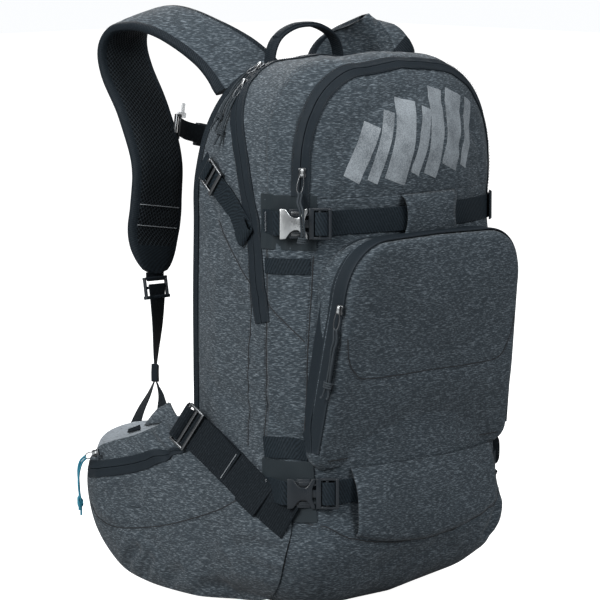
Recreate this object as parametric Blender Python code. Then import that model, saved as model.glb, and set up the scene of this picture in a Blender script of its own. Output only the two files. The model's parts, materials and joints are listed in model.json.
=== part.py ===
"""Ski backpack standing on its base: metres, +Z up, wearer's back at +Y, front pocket at -Y.

The bag is a stack of shells along Y: the main bag is a tub open towards the wearer and closed
by the back panel, the front compartment is a tray with an arched flap, and the zipped pocket
stands on that tray. The harness, hip fins, straps and buckles are built onto these shells.
"""

import math

import bmesh
import bpy
from mathutils import Vector

GAP = 0.0003  # clearance between touching pieces

# Bag body
WALL = 0.003
REAR_Y = 0.085  # open rear rim of the main bag
SPLIT_Y = -0.035  # seam between main bag and front compartment
FRONT_Y = -0.092  # flat front face of the compartment
BASE_RADIUS = 0.045
# Along Y: half width, top height, corner width and corner height of the outline
STATIONS = (
    (REAR_Y, 0.134, 0.550, 0.115, 0.145),
    (0.040, 0.146, 0.560, 0.105, 0.125),
    (SPLIT_Y, 0.150, 0.565, 0.090, 0.100),
)
# Rounded front edge of the compartment: place along Y and inset of the outline
FRONT_EDGE = ((SPLIT_Y, 0.0), (-0.055, 0.004), (-0.070, 0.012), (-0.083, 0.024), (FRONT_Y, 0.042))
LOW_INSET = 0.55  # share of a side's inset at the foot of the bag, which is fuller than the top

# Flap over the front compartment
FLAP_INSET = 0.0180
FLAP_HINGE_Z = 0.428
FLAP_GAP = 0.0006
FLAP_ZIP_INSET = 0.0122
FLAP_ZIP_Y = -0.0731

# Front pocket
POCKET_TOP_HALF = 0.128
POCKET_BOTTOM_HALF = 0.145
POCKET_BOTTOM = 0.155
POCKET_TOP = 0.385
POCKET_CORNER = 0.055
POCKET_FOOT = 0.014
POCKET_RIM_BOTTOM_Y = -0.105
POCKET_RIM_TOP_Y = -0.133
POCKET_WALL = 0.0025
PANEL_THICK = 0.005

# Straps and hardware
WEBBING_THICK = 0.0015
STRAP_WIDTH = 0.025
WIDE_STRAP = 0.038
UPPER_STRAP_Z = 0.404
LOWER_STRAP_Z = 0.130
STRAP_END_Y = -0.026  # where the horizontal straps are sewn into the side seams
STRAP_FRONT_Y = FRONT_Y - 0.0014
BUCKLE_WIDTH = 0.032
BUCKLE_THICK = 0.008

# Harness
PAD_WIDTH = 0.068
PAD_THICK = 0.012
FIN_X = (0.1375, 0.1640)  # inner and outer face of a hip fin
FIN_START_Y = 0.0925
FIN_AXIS_Y = 0.0890

COIL = 0.0028  # zip coil diameter
CORD = 0.0024  # pull cord diameter

FABRIC = ("fabric", (0.045, 0.055, 0.066), 0.85, 0.0)
LINING = ("lining", (0.070, 0.080, 0.090), 0.80, 0.0)
FOAM = ("foam", (0.020, 0.024, 0.028), 0.90, 0.0)
WEBBING = ("webbing", (0.016, 0.021, 0.026), 0.70, 0.0)
PLASTIC = ("plastic", (0.012, 0.014, 0.017), 0.40, 0.0)
METAL = ("metal", (0.550, 0.570, 0.590), 0.30, 1.0)
ZIP = ("zip", (0.018, 0.023, 0.028), 0.55, 0.0)
TEAL = ("cord", (0.010, 0.150, 0.230), 0.70, 0.0)

UP = Vector((0, 0, 1))


def clear_scene():
    for obj in list(bpy.data.objects):
        bpy.data.objects.remove(obj)


def material(finish):
    name, colour, roughness, metallic = finish
    made = bpy.data.materials.get(name)
    if made is None:
        made = bpy.data.materials.new(name)
        made.use_nodes = True
        shader = made.node_tree.nodes["Principled BSDF"]
        shader.inputs["Base Color"].default_value = (*colour, 1.0)
        shader.inputs["Roughness"].default_value = roughness
        shader.inputs["Metallic"].default_value = metallic
    return made


def add(name, bm, finish, pivot=(0, 0, 0)):
    """Makes one object of the mesh, with its origin on the pivot."""
    bmesh.ops.recalc_face_normals(bm, faces=bm.faces)
    bmesh.ops.translate(bm, vec=-Vector(pivot), verts=bm.verts)
    mesh = bpy.data.meshes.new(name)
    bm.to_mesh(mesh)
    bm.free()
    mesh.materials.append(material(finish))
    mesh.shade_smooth()
    mesh.set_sharp_from_angle(angle=math.radians(35))
    obj = bpy.data.objects.new(name, mesh)
    obj.location = pivot
    bpy.context.scene.collection.objects.link(obj)
    return obj


def cut(obj, cutter, operation="DIFFERENCE"):
    cutter.hide_render = True
    cutter.display_type = "WIRE"
    modifier = obj.modifiers.new(cutter.name, "BOOLEAN")
    modifier.object = cutter
    modifier.operation = operation
    modifier.solver = "EXACT"


def loft(rings, split=False):
    """A closed mesh through rings of equal length, with a face over each end ring.

    Split halves every side face along the same diagonal, so that two lofts match exactly.
    """
    bm = bmesh.new()
    made = [[bm.verts.new(point) for point in ring] for ring in rings]
    for first, second in zip(made, made[1:]):
        for i in range(len(first)):
            j = (i + 1) % len(first)
            if split:
                bm.faces.new((first[i], first[j], second[j]))
                bm.faces.new((first[i], second[j], second[i]))
            else:
                bm.faces.new((first[i], first[j], second[j], second[i]))
    bm.faces.new(made[0])
    bm.faces.new(made[-1])
    return bm


def smooth_path(points, count):
    """Evenly spread points on a smooth curve through the given ones."""
    points = [Vector(p) for p in points]
    padded = [2 * points[0] - points[1], *points, 2 * points[-1] - points[-2]]
    fine = []
    for a, b, c, d in zip(padded, padded[1:], padded[2:], padded[3:]):
        for step in range(16):
            t = step / 16
            fine.append(
                0.5 * (2 * b + (c - a) * t + (2 * a - 5 * b + 4 * c - d) * t**2
                       + (3 * b - a - 3 * c + d) * t**3)
            )
    fine.append(points[-1])
    lengths = [0.0]
    for p, q in zip(fine, fine[1:]):
        lengths.append(lengths[-1] + (q - p).length)
    spread, at = [], 0
    for i in range(count):
        wanted = lengths[-1] * i / (count - 1)
        while at < len(fine) - 2 and lengths[at + 1] < wanted:
            at += 1
        share = (wanted - lengths[at]) / (lengths[at + 1] - lengths[at])
        spread.append(fine[at].lerp(fine[at + 1], share))
    return spread


def mirrored(points):
    return [(-x, y, z) for x, y, z in points]


def sweep(path, sides, section):
    """Rings of the section, given across and out of the path, carried along it."""
    rings = []
    for i, point in enumerate(path):
        along = (path[min(i + 1, len(path) - 1)] - path[max(i - 1, 0)]).normalized()
        side = Vector(sides[i] if isinstance(sides, list) else sides)
        side = (side - along * side.dot(along)).normalized()
        out = along.cross(side)
        rings.append([point + side * u + out * v for u, v in section])
    return loft(rings)


def ribbon(name, points, side, width, count, finish=WEBBING, thick=WEBBING_THICK, pivot=(0, 0, 0)):
    """A flat strip along a smooth path, its width laid along side."""
    u, v = width / 2, thick / 2
    section = [(-u, -v), (u, -v), (u, v), (-u, v)]
    return add(name, sweep(smooth_path(points, count), side, section), finish, pivot)


def pad_section(width, thick):
    """A flat oval cut through a foam pad."""
    u, v = width / 2, thick / 2
    return [(-u, 0), (-u * 0.92, -v * 0.8), (-u * 0.7, -v), (u * 0.7, -v), (u * 0.92, -v * 0.8),
            (u, 0), (u * 0.92, v * 0.8), (u * 0.7, v), (-u * 0.7, v), (-u * 0.92, v * 0.8)]


def block(origin, axes, low, high, chamfer=0.0):
    """A block in a local frame of three axes, with its long edges chamfered."""
    origin = Vector(origin)
    a, b, c = (Vector(axis) for axis in axes)
    k = chamfer
    corners = [(low[1] + k, low[2]), (high[1] - k, low[2]), (high[1], low[2] + k),
               (high[1], high[2] - k), (high[1] - k, high[2]), (low[1] + k, high[2]),
               (low[1], high[2] - k), (low[1], low[2] + k)]
    if not k:
        corners = [(low[1], low[2]), (high[1], low[2]), (high[1], high[2]), (low[1], high[2])]
    return loft([[origin + a * u + b * v + c * w for v, w in corners] for u in (low[0], high[0])])


# --- bag body ---------------------------------------------------------------------------


def station(y):
    """Half width, top, corner width and corner height of the body at y."""
    y = max(min(y, REAR_Y), SPLIT_Y)
    for (y0, *first), (y1, *second) in zip(STATIONS, STATIONS[1:]):
        if y1 <= y <= y0:
            t = (y0 - y) / (y0 - y1)
            return [p + (q - p) * t for p, q in zip(first, second)]
    return list(STATIONS[-1][1:])


def arc(cx, cz, rx, rz, start, end, steps):
    angles = [math.radians(start + (end - start) * i / steps) for i in range(steps + 1)]
    return [(cx + rx * math.cos(a), cz + rz * math.sin(a)) for a in angles]


def outline(y, inset=0.0):
    """The body's outline at y, shrunk by the inset, anticlockwise as seen from the front."""
    half, top, rx, rz = station(y)
    low_half, half, top, base = half - LOW_INSET * inset, half - inset, top - inset, BASE_RADIUS
    right = arc(low_half - base, inset + base, base, base, -90, 0, 3)
    right += arc(half - rx, top - rz, rx, rz, 0, 90, 6)
    return right + [(-x, z) for x, z in reversed(right)]


def side_inset(inset, z):
    """How far a side is drawn in at a height, for a given inset of the whole outline."""
    half, top, rx, rz = station(SPLIT_Y)
    low, high = inset + BASE_RADIUS, top - inset - rz
    share = min(max((z - low) / (high - low), 0.0), 1.0)
    return inset * (LOW_INSET + (1 - LOW_INSET) * share)


def skin_corner(z, out):
    """Points around the front right corner at a height, standing off the skin."""
    half = STATIONS[-1][1]
    corner = [Vector((half - side_inset(inset, z), y, z)) for y, inset in FRONT_EDGE]
    moved = []
    for i, point in enumerate(corner):
        along = corner[min(i + 1, len(corner) - 1)] - corner[max(i - 1, 0)]
        moved.append(point + Vector((-along.y, along.x, 0)).normalized() * out)
    return moved


def ring_at(y, inset=0.0, place=None):
    place = y if place is None else place
    return [Vector((x, place, z)) for x, z in outline(y, inset)]


def side_point(y, out, z=None, angle=None):
    """A point on the body's left skin, by height on the side or by angle on the top corner."""
    half, top, rx, rz = station(y)
    if z is not None:
        return Vector((-half - out, y, z))
    a = math.radians(angle)
    return Vector((rx - half - (rx + out) * math.cos(a), y, top - rz + (rz + out) * math.sin(a)))


def main_bag():
    places = [SPLIT_Y + GAP, 0.010, 0.040, REAR_Y]
    outer = [ring_at(y) for y in places]
    inner = [ring_at(y, WALL) for y in reversed(places[1:])]
    inner.append(ring_at(SPLIT_Y, WALL, SPLIT_Y + GAP + WALL))
    add("main_bag", loft(outer + inner), FABRIC)


def compartment_shell():
    outer = [ring_at(SPLIT_Y, inset, y) for y, inset in FRONT_EDGE]
    inner = [ring_at(SPLIT_Y, inset + WALL, min(y + WALL, SPLIT_Y)) for y, inset in FRONT_EDGE]
    return loft(outer[::-1] + inner, split=True)


def flap_prism(name, grow):
    """The arch that parts the flap from the front compartment, as a helper solid."""
    points = [(x, z) for x, z in outline(SPLIT_Y, FLAP_INSET - grow) if z > FLAP_HINGE_Z]
    low = FLAP_HINGE_Z - grow
    points = [(points[0][0], low), *points, (points[-1][0], low)]
    bm = loft([[Vector((x, y, z)) for x, z in points] for y in (FRONT_Y - 0.02, -0.055)])
    return add(name, bm, FABRIC)


def front_compartment():
    shell = add("front_compartment", compartment_shell(), FABRIC)
    cut(shell, flap_prism("flap_opening", FLAP_GAP))


def front_flap():
    pivot = (0, FRONT_Y, FLAP_HINGE_Z)
    flap = add("front_flap", compartment_shell(), FABRIC, pivot)
    cut(flap, flap_prism("flap_outline", 0.0), "INTERSECT")


def back_panel():
    edge = ((REAR_Y + GAP, 0.0), (REAR_Y + 0.004, 0.0), (REAR_Y + 0.0063, 0.003))
    rings = [ring_at(REAR_Y, inset, y) for y, inset in edge]
    for ring in rings:
        for point in ring:
            point.z = max(point.z, 0.0)
    add("back_panel", loft(rings), FABRIC)


def rounded(half, low, high, radius, steps=3):
    """A rounded rectangle about x = 0, anticlockwise as seen from the front."""
    right = arc(half - radius, low + radius, radius, radius, -90, 0, steps)
    right += arc(half - radius, high - radius, radius, radius, 0, 90, steps)
    return right + [(-x, z) for x, z in reversed(right)]


def slab(name, half, low, high, radius, y_near, y_far, edge, finish):
    """A rounded pad between two planes of y, its far edge rounded over."""
    rings = []
    for y, inset in ((y_near, 0.0), (y_far - edge, 0.0), (y_far, abs(edge))):
        shape = rounded(half - inset, low + inset, high - inset, radius - inset)
        rings.append([Vector((x, y, z)) for x, z in shape])
    add(name, loft(rings), finish)


def inner_pieces():
    slab("back_protector", 0.105, 0.030, 0.500, 0.060, 0.068, 0.080, 0.003, FOAM)
    slab("shovel_sleeve", 0.090, 0.040, 0.340, 0.020, -0.043, -0.046, -0.001, LINING)
    slab("back_pad", 0.100, 0.235, 0.490, 0.045, 0.0918, 0.1050, 0.006, FOAM)
    slab("lumbar_pad", 0.095, 0.060, 0.205, 0.045, 0.0918, 0.1130, 0.008, FOAM)


# --- front pocket -----------------------------------------------------------------------


def pocket_outline(inset=0.0):
    """The pocket's arch: legs that lean in towards rounded top corners."""
    foot, corner = POCKET_FOOT, POCKET_CORNER
    low_half, half = POCKET_BOTTOM_HALF - inset, POCKET_TOP_HALF - inset
    right = arc(low_half - foot, POCKET_BOTTOM + inset + foot, foot, foot, -90, 0, 2)
    right += arc(half - corner, POCKET_TOP - inset - corner, corner, corner, 0, 90, 5)
    return right + [(-x, z) for x, z in reversed(right)]


def rim_y(z):
    share = (z - POCKET_BOTTOM) / (POCKET_TOP - POCKET_BOTTOM)
    return POCKET_RIM_BOTTOM_Y + share * (POCKET_RIM_TOP_Y - POCKET_RIM_BOTTOM_Y)


def pocket_tray():
    """A tray with a thick rim, hollowed back to the compartment's skin."""
    outer, inner = pocket_outline(), pocket_outline(POCKET_WALL)
    tray = add("pocket_tray", loft([
        [Vector((x, SPLIT_Y - 0.010, z)) for x, z in outer],
        [Vector((x, rim_y(z), z)) for x, z in outer],
        [Vector((x, rim_y(z), z)) for x, z in inner],
        [Vector((x, FRONT_Y - POCKET_WALL - GAP, z)) for x, z in inner],
    ]), FABRIC)
    grown = [ring_at(SPLIT_Y, inset - 1.5 * GAP, y - 1.5 * GAP) for y, inset in FRONT_EDGE]
    cut(tray, add("compartment_skin", loft(grown[::-1], split=True), FABRIC))


def pocket_panel():
    rings = []
    for out, inset in ((GAP, 0.0), (PANEL_THICK * 0.6, 0.0), (PANEL_THICK, 0.006)):
        rings.append([Vector((x, rim_y(z) - out, z)) for x, z in pocket_outline(inset)])
    pivot = (0, POCKET_RIM_BOTTOM_Y, POCKET_BOTTOM)
    add("pocket_panel", loft(rings), FABRIC, pivot)


# --- zips -------------------------------------------------------------------------------


def tube(name, points, diameter, finish, count=None, pivot=(0, 0, 0)):
    """A round cord or coil along a smooth path."""
    curve = bpy.data.curves.new(name, "CURVE")
    curve.dimensions = "3D"
    curve.bevel_depth = diameter / 2
    curve.bevel_resolution = 2
    curve.use_fill_caps = True
    path = smooth_path(points, count) if count else [Vector(p) for p in points]
    spline = curve.splines.new("POLY")
    spline.points.add(len(path) - 1)
    for target, point in zip(spline.points, path):
        target.co = (*(point - Vector(pivot)), 1.0)
    curve.materials.append(material(finish))
    obj = bpy.data.objects.new(name, curve)
    obj.location = pivot
    bpy.context.scene.collection.objects.link(obj)


def coil(name, path):
    """A zip coil: a six-sided bar along the path, flat against the fabric."""
    u = COIL / 2
    section = [(u * math.cos(math.radians(a)), u * math.sin(math.radians(a))) for a in range(0, 360, 60)]
    add(name, sweep(path, Vector((0, -1, 0)), section), ZIP)


def main_zip_path(out):
    """The main zip's left half from its low end to the middle of the top."""
    sides = ((-0.030, 0.300), (-0.022, 0.330), (-0.017, 0.385), (-0.006, 0.425))
    corner = ((0.008, 14), (0.024, 33), (0.038, 50), (0.045, 66), (0.048, 80), (0.048, 90))
    return [side_point(y, out, z=z) for y, z in sides] + [side_point(y, out, angle=a) for y, a in corner]


def zips():
    arch = [(x, z) for x, z in outline(SPLIT_Y, FLAP_ZIP_INSET) if z > FLAP_HINGE_Z + 0.005]
    foot, low = arch[0][0], FLAP_HINGE_Z + 0.004
    arch = [(foot, low), *arch, (-foot, low)]
    coil("flap_zip", [Vector((x, FLAP_ZIP_Y, z)) for x, z in arch])

    out = COIL / 2 + GAP
    low = POCKET_BOTTOM + POCKET_FOOT
    rim = [(x, z) for x, z in pocket_outline(-out) if z > low - 0.001]
    coil("pocket_zip", [Vector((x, rim_y(z) + 0.003, z)) for x, z in rim])

    left = main_zip_path(COIL / 2 + 3 * GAP)
    path = left + [Vector((-p.x, p.y, p.z)) for p in reversed(left[:-1])]
    coil("main_zip", smooth_path(path, 46))


def slider(name, at, down, out, tab_length=0.016):
    """A zip slider and its metal pull, hanging along down and standing off along out."""
    down, out = Vector(down).normalized(), Vector(out)
    out = (out - down * out.dot(down)).normalized()
    side = down.cross(out)
    axes = (down, side, out)
    body = block(at, axes, (-0.005, -0.0038, 0.0), (0.006, 0.0038, 0.0030), 0.0010)
    tab = block(at, axes, (0.004, -0.0028, 0.0016), (tab_length, 0.0028, 0.0032), 0.0004)
    made = add(name, body, METAL, at)
    cut(made, add(name + "_pull", tab, METAL), "UNION")
    return at + down * (tab_length + 0.0030) + out * 0.0024


def pull_cord(name, route, out, finish=WEBBING):
    """A cord folded through a zip pull: two strands side by side along the route, from its bend."""
    count = 9
    path = smooth_path(route, count)
    out = Vector(out)
    half, bend = 0.0021, 0.0047
    spread = (0.0, bend, bend * 0.75) + (half,) * (count - 3)
    sides = []
    for i, point in enumerate(path):
        along = path[min(i + 1, count - 1)] - path[max(i - 1, 0)]
        sides.append(along.cross(out).normalized() * spread[i])
    first = [p - s for p, s in zip(path, sides)][1:-1]
    second = [p + s for p, s in zip(path, sides)][1:]
    points = first[::-1] + [path[0]] + second
    length = sum((q - p).length for p, q in zip(points, points[1:]))
    tube(name, points, CORD, finish, count=int(length / (2.5 * CORD)))


def zip_pulls():
    slope = Vector((-0.10, (POCKET_RIM_BOTTOM_Y - POCKET_RIM_TOP_Y) / (POCKET_TOP - POCKET_BOTTOM), -1))
    slope.normalize()
    z = 0.320
    half = POCKET_TOP_HALF + 0.0010
    at = Vector((-half - COIL - 3 * GAP, rim_y(z) + 0.003, z))
    low = slider("pocket_slider", at, slope, (-1, -0.2, 0))
    route = [low + slope * d + Vector((-0.0010, -0.0010, 0)) for d in (0.0, 0.02, 0.045, 0.072)]
    pull_cord("pocket_cord", route, (-1, -0.2, 0))

    z = 0.455
    flap_out = Vector((-0.74, -0.68, 0))
    at = Vector((FLAP_ZIP_INSET - STATIONS[-1][1], FLAP_ZIP_Y, z)) + flap_out * (COIL / 2 + GAP)
    slider("flap_slider", at, (0, 0, -1), flap_out)
    route = [corner_point(-0.0500, 0.1556) + UP * 0.4365, corner_point(-0.0485, 0.1600) + UP * 0.430,
             corner_point(-0.0470, 0.1650) + UP * 0.419, corner_point(-0.0455, 0.1652) + UP * 0.402,
             corner_point(-0.0445, 0.1640) + UP * 0.386]
    pull_cord("flap_cord", route, DIAGONAL[2])

    stand = COIL + 6 * GAP
    hangs = {
        "upper": (0.0452, 67, ((0.006, 57), (0.0125, 49), (0.014, 41), (0.013, 34), (0.012, 28))),
        "lower": (0.0402, 52, ((-0.001, 38), (-0.001, 31), (-0.001, 24), (-0.002, 18))),
    }
    for name, (y, angle, steps) in hangs.items():
        at = side_point(y, stand, angle=angle)
        out = at - side_point(y, 0.0, angle=angle)
        down = side_point(y - 0.002, stand, angle=angle - 8) - at
        low = slider("main_slider_" + name, at, down, out)
        route = [low] + [side_point(y + shift, 0.0062, angle=a) for shift, a in steps]
        pull_cord("main_cord_" + name, route, out)


# --- compression straps -----------------------------------------------------------------

DIAGONAL = (Vector((1, -1, 0)).normalized(), UP, Vector((-1, -1, 0)).normalized())
# Each strap's height, and its buckle's place along and out from the front left corner
STRAPS = {
    "upper": (UPPER_STRAP_Z, -0.0400, 0.1525),
    "lower": (LOWER_STRAP_Z, -0.0325, 0.1565),
}


def corner_point(along, out):
    """A point near the front left corner, along its face and out from the bag's middle."""
    return DIAGONAL[2] * out + DIAGONAL[0] * along


def strap_buckle(prefix):
    """A side-release buckle on the front left corner: socket on the tab, plug on the strap."""
    z, along, out = STRAPS[prefix]
    origin = corner_point(along, out) + UP * z
    half = BUCKLE_WIDTH / 2
    socket = add(prefix + "_buckle_socket",
                 block(origin, DIAGONAL, (-0.028, -half, 0), (-0.002, half, BUCKLE_THICK), 0.002),
                 METAL if prefix == "upper" else PLASTIC)
    mouth = block(origin, DIAGONAL, (-0.020, -half + 0.004, 0.0018),
                  (0.004, half - 0.004, BUCKLE_THICK - 0.0018))
    cut(socket, add(prefix + "_buckle_mouth", mouth, PLASTIC))
    slot = block(origin, DIAGONAL, (-0.0255, -half + 0.003, -0.002), (-0.0225, half - 0.003, 0.012))
    cut(socket, add(prefix + "_tab_slot", slot, PLASTIC))

    pivot = origin + DIAGONAL[2] * (BUCKLE_THICK / 2)
    plug = add(prefix + "_buckle_plug",
               block(origin, DIAGONAL, (0.0, -half, 0.001), (0.024, half, BUCKLE_THICK - 0.001), 0.0015),
               PLASTIC, pivot)
    tongue = block(origin, DIAGONAL, (-0.017, -half + 0.0055, 0.0026),
                   (0.002, half - 0.0055, BUCKLE_THICK - 0.0026))
    cut(plug, add(prefix + "_tongue", tongue, PLASTIC), "UNION")
    for i, low in enumerate((0.008, 0.0165)):
        window = block(origin, DIAGONAL, (low, -half + 0.003, -0.002), (low + 0.004, half - 0.003, 0.012))
        cut(plug, add(f"{prefix}_plug_slot_{i}", window, PLASTIC))


def compression_strap(prefix):
    strap_buckle(prefix)
    z, along, out = STRAPS[prefix]
    lift = UP * z
    side_x = STATIONS[-1][1] + 0.0012
    tab = [(-side_x, STRAP_END_Y - 0.010, z), (-side_x - 0.0006, STRAP_END_Y - 0.017, z),
           corner_point(along - 0.0330, out - 0.0005) + lift, corner_point(along - 0.0286, out + 0.002) + lift]
    ribbon(prefix + "_strap_tab", tab, UP, STRAP_WIDTH, 7)
    y = STRAP_FRONT_Y
    strap = [corner_point(along + 0.004, out - 0.0014) + lift, corner_point(along + 0.018, out - 0.0014) + lift,
             (-0.100, y - 0.0022, z), (-0.078, y - 0.0004, z), (-0.050, y, z), (0.050, y, z), (0.092, y, z)]
    strap += skin_corner(z, 0.0020)[::-1][:-1]
    strap.append((side_x, SPLIT_Y - 0.001, z))
    ribbon(prefix + "_strap_webbing", strap, UP, STRAP_WIDTH, 26)


def strap_covers():
    """The fabric loop and the keeper on the upper strap, and the long cover on the lower one."""
    y = STRAP_FRONT_Y - WEBBING_THICK / 2 - GAP
    loop = block((0.022, y, UPPER_STRAP_Z), ((1, 0, 0), (0, 0, 1), (0, -1, 0)),
                 (-0.027, -0.018, 0), (0.027, 0.020, 0.0035), 0.001)
    add("upper_strap_loop", loop, FABRIC)
    ribbon("upper_strap_keeper", skin_corner(UPPER_STRAP_Z, 0.0054)[::-1][:3], UP,
           STRAP_WIDTH + 0.004, 6, thick=0.0018)
    cover = [(-0.078, y - 0.0046, 0.112), (-0.040, y - 0.0030, 0.112), (0.050, y - 0.0026, 0.112),
             (0.100, y - 0.0020, 0.112)]
    ribbon("lower_strap_cover", cover, UP, 0.074, 8, FABRIC, 0.003)


def side_straps(mark, flip):
    """The diagonal upper strap with its ladder lock, and the wide lower strap with its tri-glide."""
    keep = mirrored if flip else list
    x = -0.1505
    points = keep([(x + 0.002, 0.052, 0.447), (x - 0.0002, 0.026, 0.421), (x - 0.0008, 0.002, 0.397)])
    across = Vector((0, 0.707, -0.707))
    ribbon("side_strap_" + mark, points, across, STRAP_WIDTH, 5)
    top, bottom = Vector(points[0]), Vector(points[-1])
    along = (bottom - top).normalized()
    out = Vector(((1 if flip else -1), 0, 0))
    out = (out - along * out.dot(along)).normalized()
    side = along.cross(out)
    at = top + along * 0.020 + out * (0.0018 + WEBBING_THICK)
    lock = add("side_lock_" + mark, block(at, (along, side, out), (-0.012, -0.0155, 0), (0.012, 0.0155, 0.003), 0.001),
               METAL, at)
    for i, low in enumerate((-0.008, 0.0025)):
        hole = block(at, (along, side, out), (low, -0.0125, -0.004), (low + 0.0055, 0.0125, 0.008))
        cut(lock, add(f"side_lock_{mark}_slot_{i}", hole, METAL))

    x = -0.1528
    wide = keep([(x + 0.0050, 0.0760, 0.1880), (x + 0.0010, 0.040, 0.1660), (x, 0.005, 0.1450),
                 (x, -0.022, 0.1290)])
    ribbon("wide_strap_" + mark, wide, Vector((0, 0.53, -0.85)), WIDE_STRAP, 7)
    top, bottom = Vector(wide[0]), Vector(wide[1])
    along = (bottom - top).normalized()
    out = Vector(((1 if flip else -1), 0, 0))
    out = (out - along * out.dot(along)).normalized()
    side = along.cross(out)
    at = top + along * 0.012 + out * (WEBBING_THICK / 2 + 0.0009)
    glide = add("tri_glide_" + mark, block(at, (along, side, out), (-0.011, -0.0235, 0), (0.011, 0.0235, 0.004), 0.0012),
                PLASTIC, at)
    for i, low in enumerate((-0.0075, 0.0025)):
        hole = block(at, (along, side, out), (low, -0.0200, -0.004), (low + 0.005, 0.0200, 0.008))
        cut(glide, add(f"tri_glide_{mark}_slot_{i}", hole, PLASTIC))


# --- harness ----------------------------------------------------------------------------


def grab_handle():
    y = 0.066
    points = [(-0.0500, y, 0.5730), (-0.038, y, 0.5880), (-0.020, y, 0.5965), (0.0, y, 0.5990),
              (0.020, y, 0.5965), (0.038, y, 0.5880), (0.0500, y, 0.5730)]
    ribbon("grab_handle", points, Vector((0, 1, 0)), 0.018, 13, thick=0.003, pivot=(0, y, 0.5620))


def shoulder_pad(name, points, sides):
    count = 19
    path = smooth_path(points, count)
    smooth_sides = smooth_path(sides, count)
    rings = []
    for i, point in enumerate(path):
        along = (path[min(i + 1, count - 1)] - path[max(i - 1, 0)]).normalized()
        side = smooth_sides[i]
        side = (side - along * side.dot(along)).normalized()
        out = along.cross(side)
        from_end = min(1.0, (count - 1 - i) / 2.5)
        width = PAD_WIDTH * (0.55 + 0.45 * math.sqrt(from_end))
        rings.append([point + side * u + out * v for u, v in pad_section(width, PAD_THICK)])
    add(name, loft(rings), FOAM)


LEFT_PAD = [(-0.070, 0.0960, 0.5580), (-0.074, 0.130, 0.5770), (-0.078, 0.170, 0.5930),
            (-0.080, 0.208, 0.5990), (-0.080, 0.242, 0.5920), (-0.080, 0.2580, 0.5700),
            (-0.080, 0.2520, 0.5400), (-0.083, 0.2220, 0.4970), (-0.090, 0.1950, 0.4480),
            (-0.097, 0.1880, 0.4000), (-0.102, 0.1880, 0.3640), (-0.106, 0.1800, 0.3280)]
LEFT_SIDES = [(-0.87, 0, -0.50), (-0.90, 0, -0.44), (-0.95, 0, -0.30), (-0.98, 0, -0.18),
              (-1, 0, -0.1), (-1, 0, 0), (-1, 0, 0), (-1, 0.05, 0), (-1, 0.05, 0),
              (-1, 0, 0), (-1, 0, 0), (-1, 0, 0)]
RIGHT_PAD = [(0.070, 0.0960, 0.5600), (0.074, 0.0860, 0.5760), (0.079, 0.0760, 0.5900),
             (0.087, 0.0760, 0.6010), (0.098, 0.0900, 0.6000), (0.105, 0.1150, 0.5800),
             (0.108, 0.1480, 0.5400), (0.108, 0.1750, 0.4950), (0.106, 0.1870, 0.4480),
             (0.104, 0.1900, 0.4000), (0.104, 0.1890, 0.3640), (0.106, 0.1800, 0.3280)]
RIGHT_SIDES = [(-0.9, 0.25, 0.3), (-0.85, 0.5, 0.1), (-0.75, 0.65, 0), (-0.72, 0.69, 0),
               (-0.75, 0.6, 0.1), (-0.85, 0.4, 0.2), (-0.95, 0.2, 0), (-1, 0, 0), (-1, 0, 0),
               (-1, 0, 0), (-1, 0, 0), (-1, 0, 0)]


def harness_side(mark, flip):
    """The ladder lock under a shoulder pad, the webbing down to the fin, and the fin itself."""
    keep = mirrored if flip else list
    sign = 1 if flip else -1
    at = Vector((sign * 0.1075, 0.1780, 0.3140))
    lock = add("ladder_lock_" + mark,
               block(at, ((0, -0.16, -0.987), (1, 0, 0), (0, -0.987, 0.16)), (-0.010, -0.016, -0.002),
                     (0.010, 0.016, 0.002), 0.001), PLASTIC)
    for i, low in enumerate((-0.0065, 0.002)):
        hole = block(at, ((0, -0.16, -0.987), (1, 0, 0), (0, -0.987, 0.16)), (low, -0.0130, -0.006),
                     (low + 0.0045, 0.0130, 0.006))
        cut(lock, add(f"ladder_lock_{mark}_slot_{i}", hole, PLASTIC))
    points = keep([(-0.1080, 0.1757, 0.3020), (-0.1120, 0.1720, 0.2700), (-0.1200, 0.1660, 0.2200),
                   (-0.1270, 0.1520, 0.2050), (-0.1330, 0.1340, 0.1960)])
    sides = [Vector((1, 0, 0)), Vector((1, 0, 0)), Vector((1, 0.1, 0)), Vector((0.8, 0.6, 0)),
             Vector((0.5, 0.85, 0))]
    if flip:
        sides = [Vector((s.x, -s.y, s.z)) for s in sides]
    path = smooth_path(points, 9)
    u, v = 0.0125, WEBBING_THICK / 2
    bm = sweep(path, smooth_path(sides, 9), [(-u, -v), (u, -v), (u, v), (-u, v)])
    add("shoulder_webbing_" + mark, bm, WEBBING)

    shape = [(FIN_START_Y, 0.022), (0.130, 0.024), (0.170, 0.028), (0.203, 0.037), (0.228, 0.052),
             (0.240, 0.078), (0.243, 0.110), (0.234, 0.140), (0.212, 0.160), (0.170, 0.169),
             (0.125, 0.181), (FIN_START_Y, 0.192)]
    middle = Vector((0, 0.165, 0.100))
    inner, outer = FIN_X
    rings = []
    for x, scale in ((inner, 0.93), (inner + 0.005, 1.0), (outer - 0.009, 1.0), (outer, 0.86)):
        ring = []
        for y, z in shape:
            flat = Vector((0, y, z)) - middle
            y_scale = 1.0 if y == FIN_START_Y else scale
            ring.append(Vector((sign * x, middle.y + flat.y * y_scale, middle.z + flat.z * scale)))
        rings.append(ring)
    pivot = (sign * 0.1500, FIN_AXIS_Y, 0.100)
    add("hip_fin_" + mark, loft(rings), FABRIC, pivot)


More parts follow.
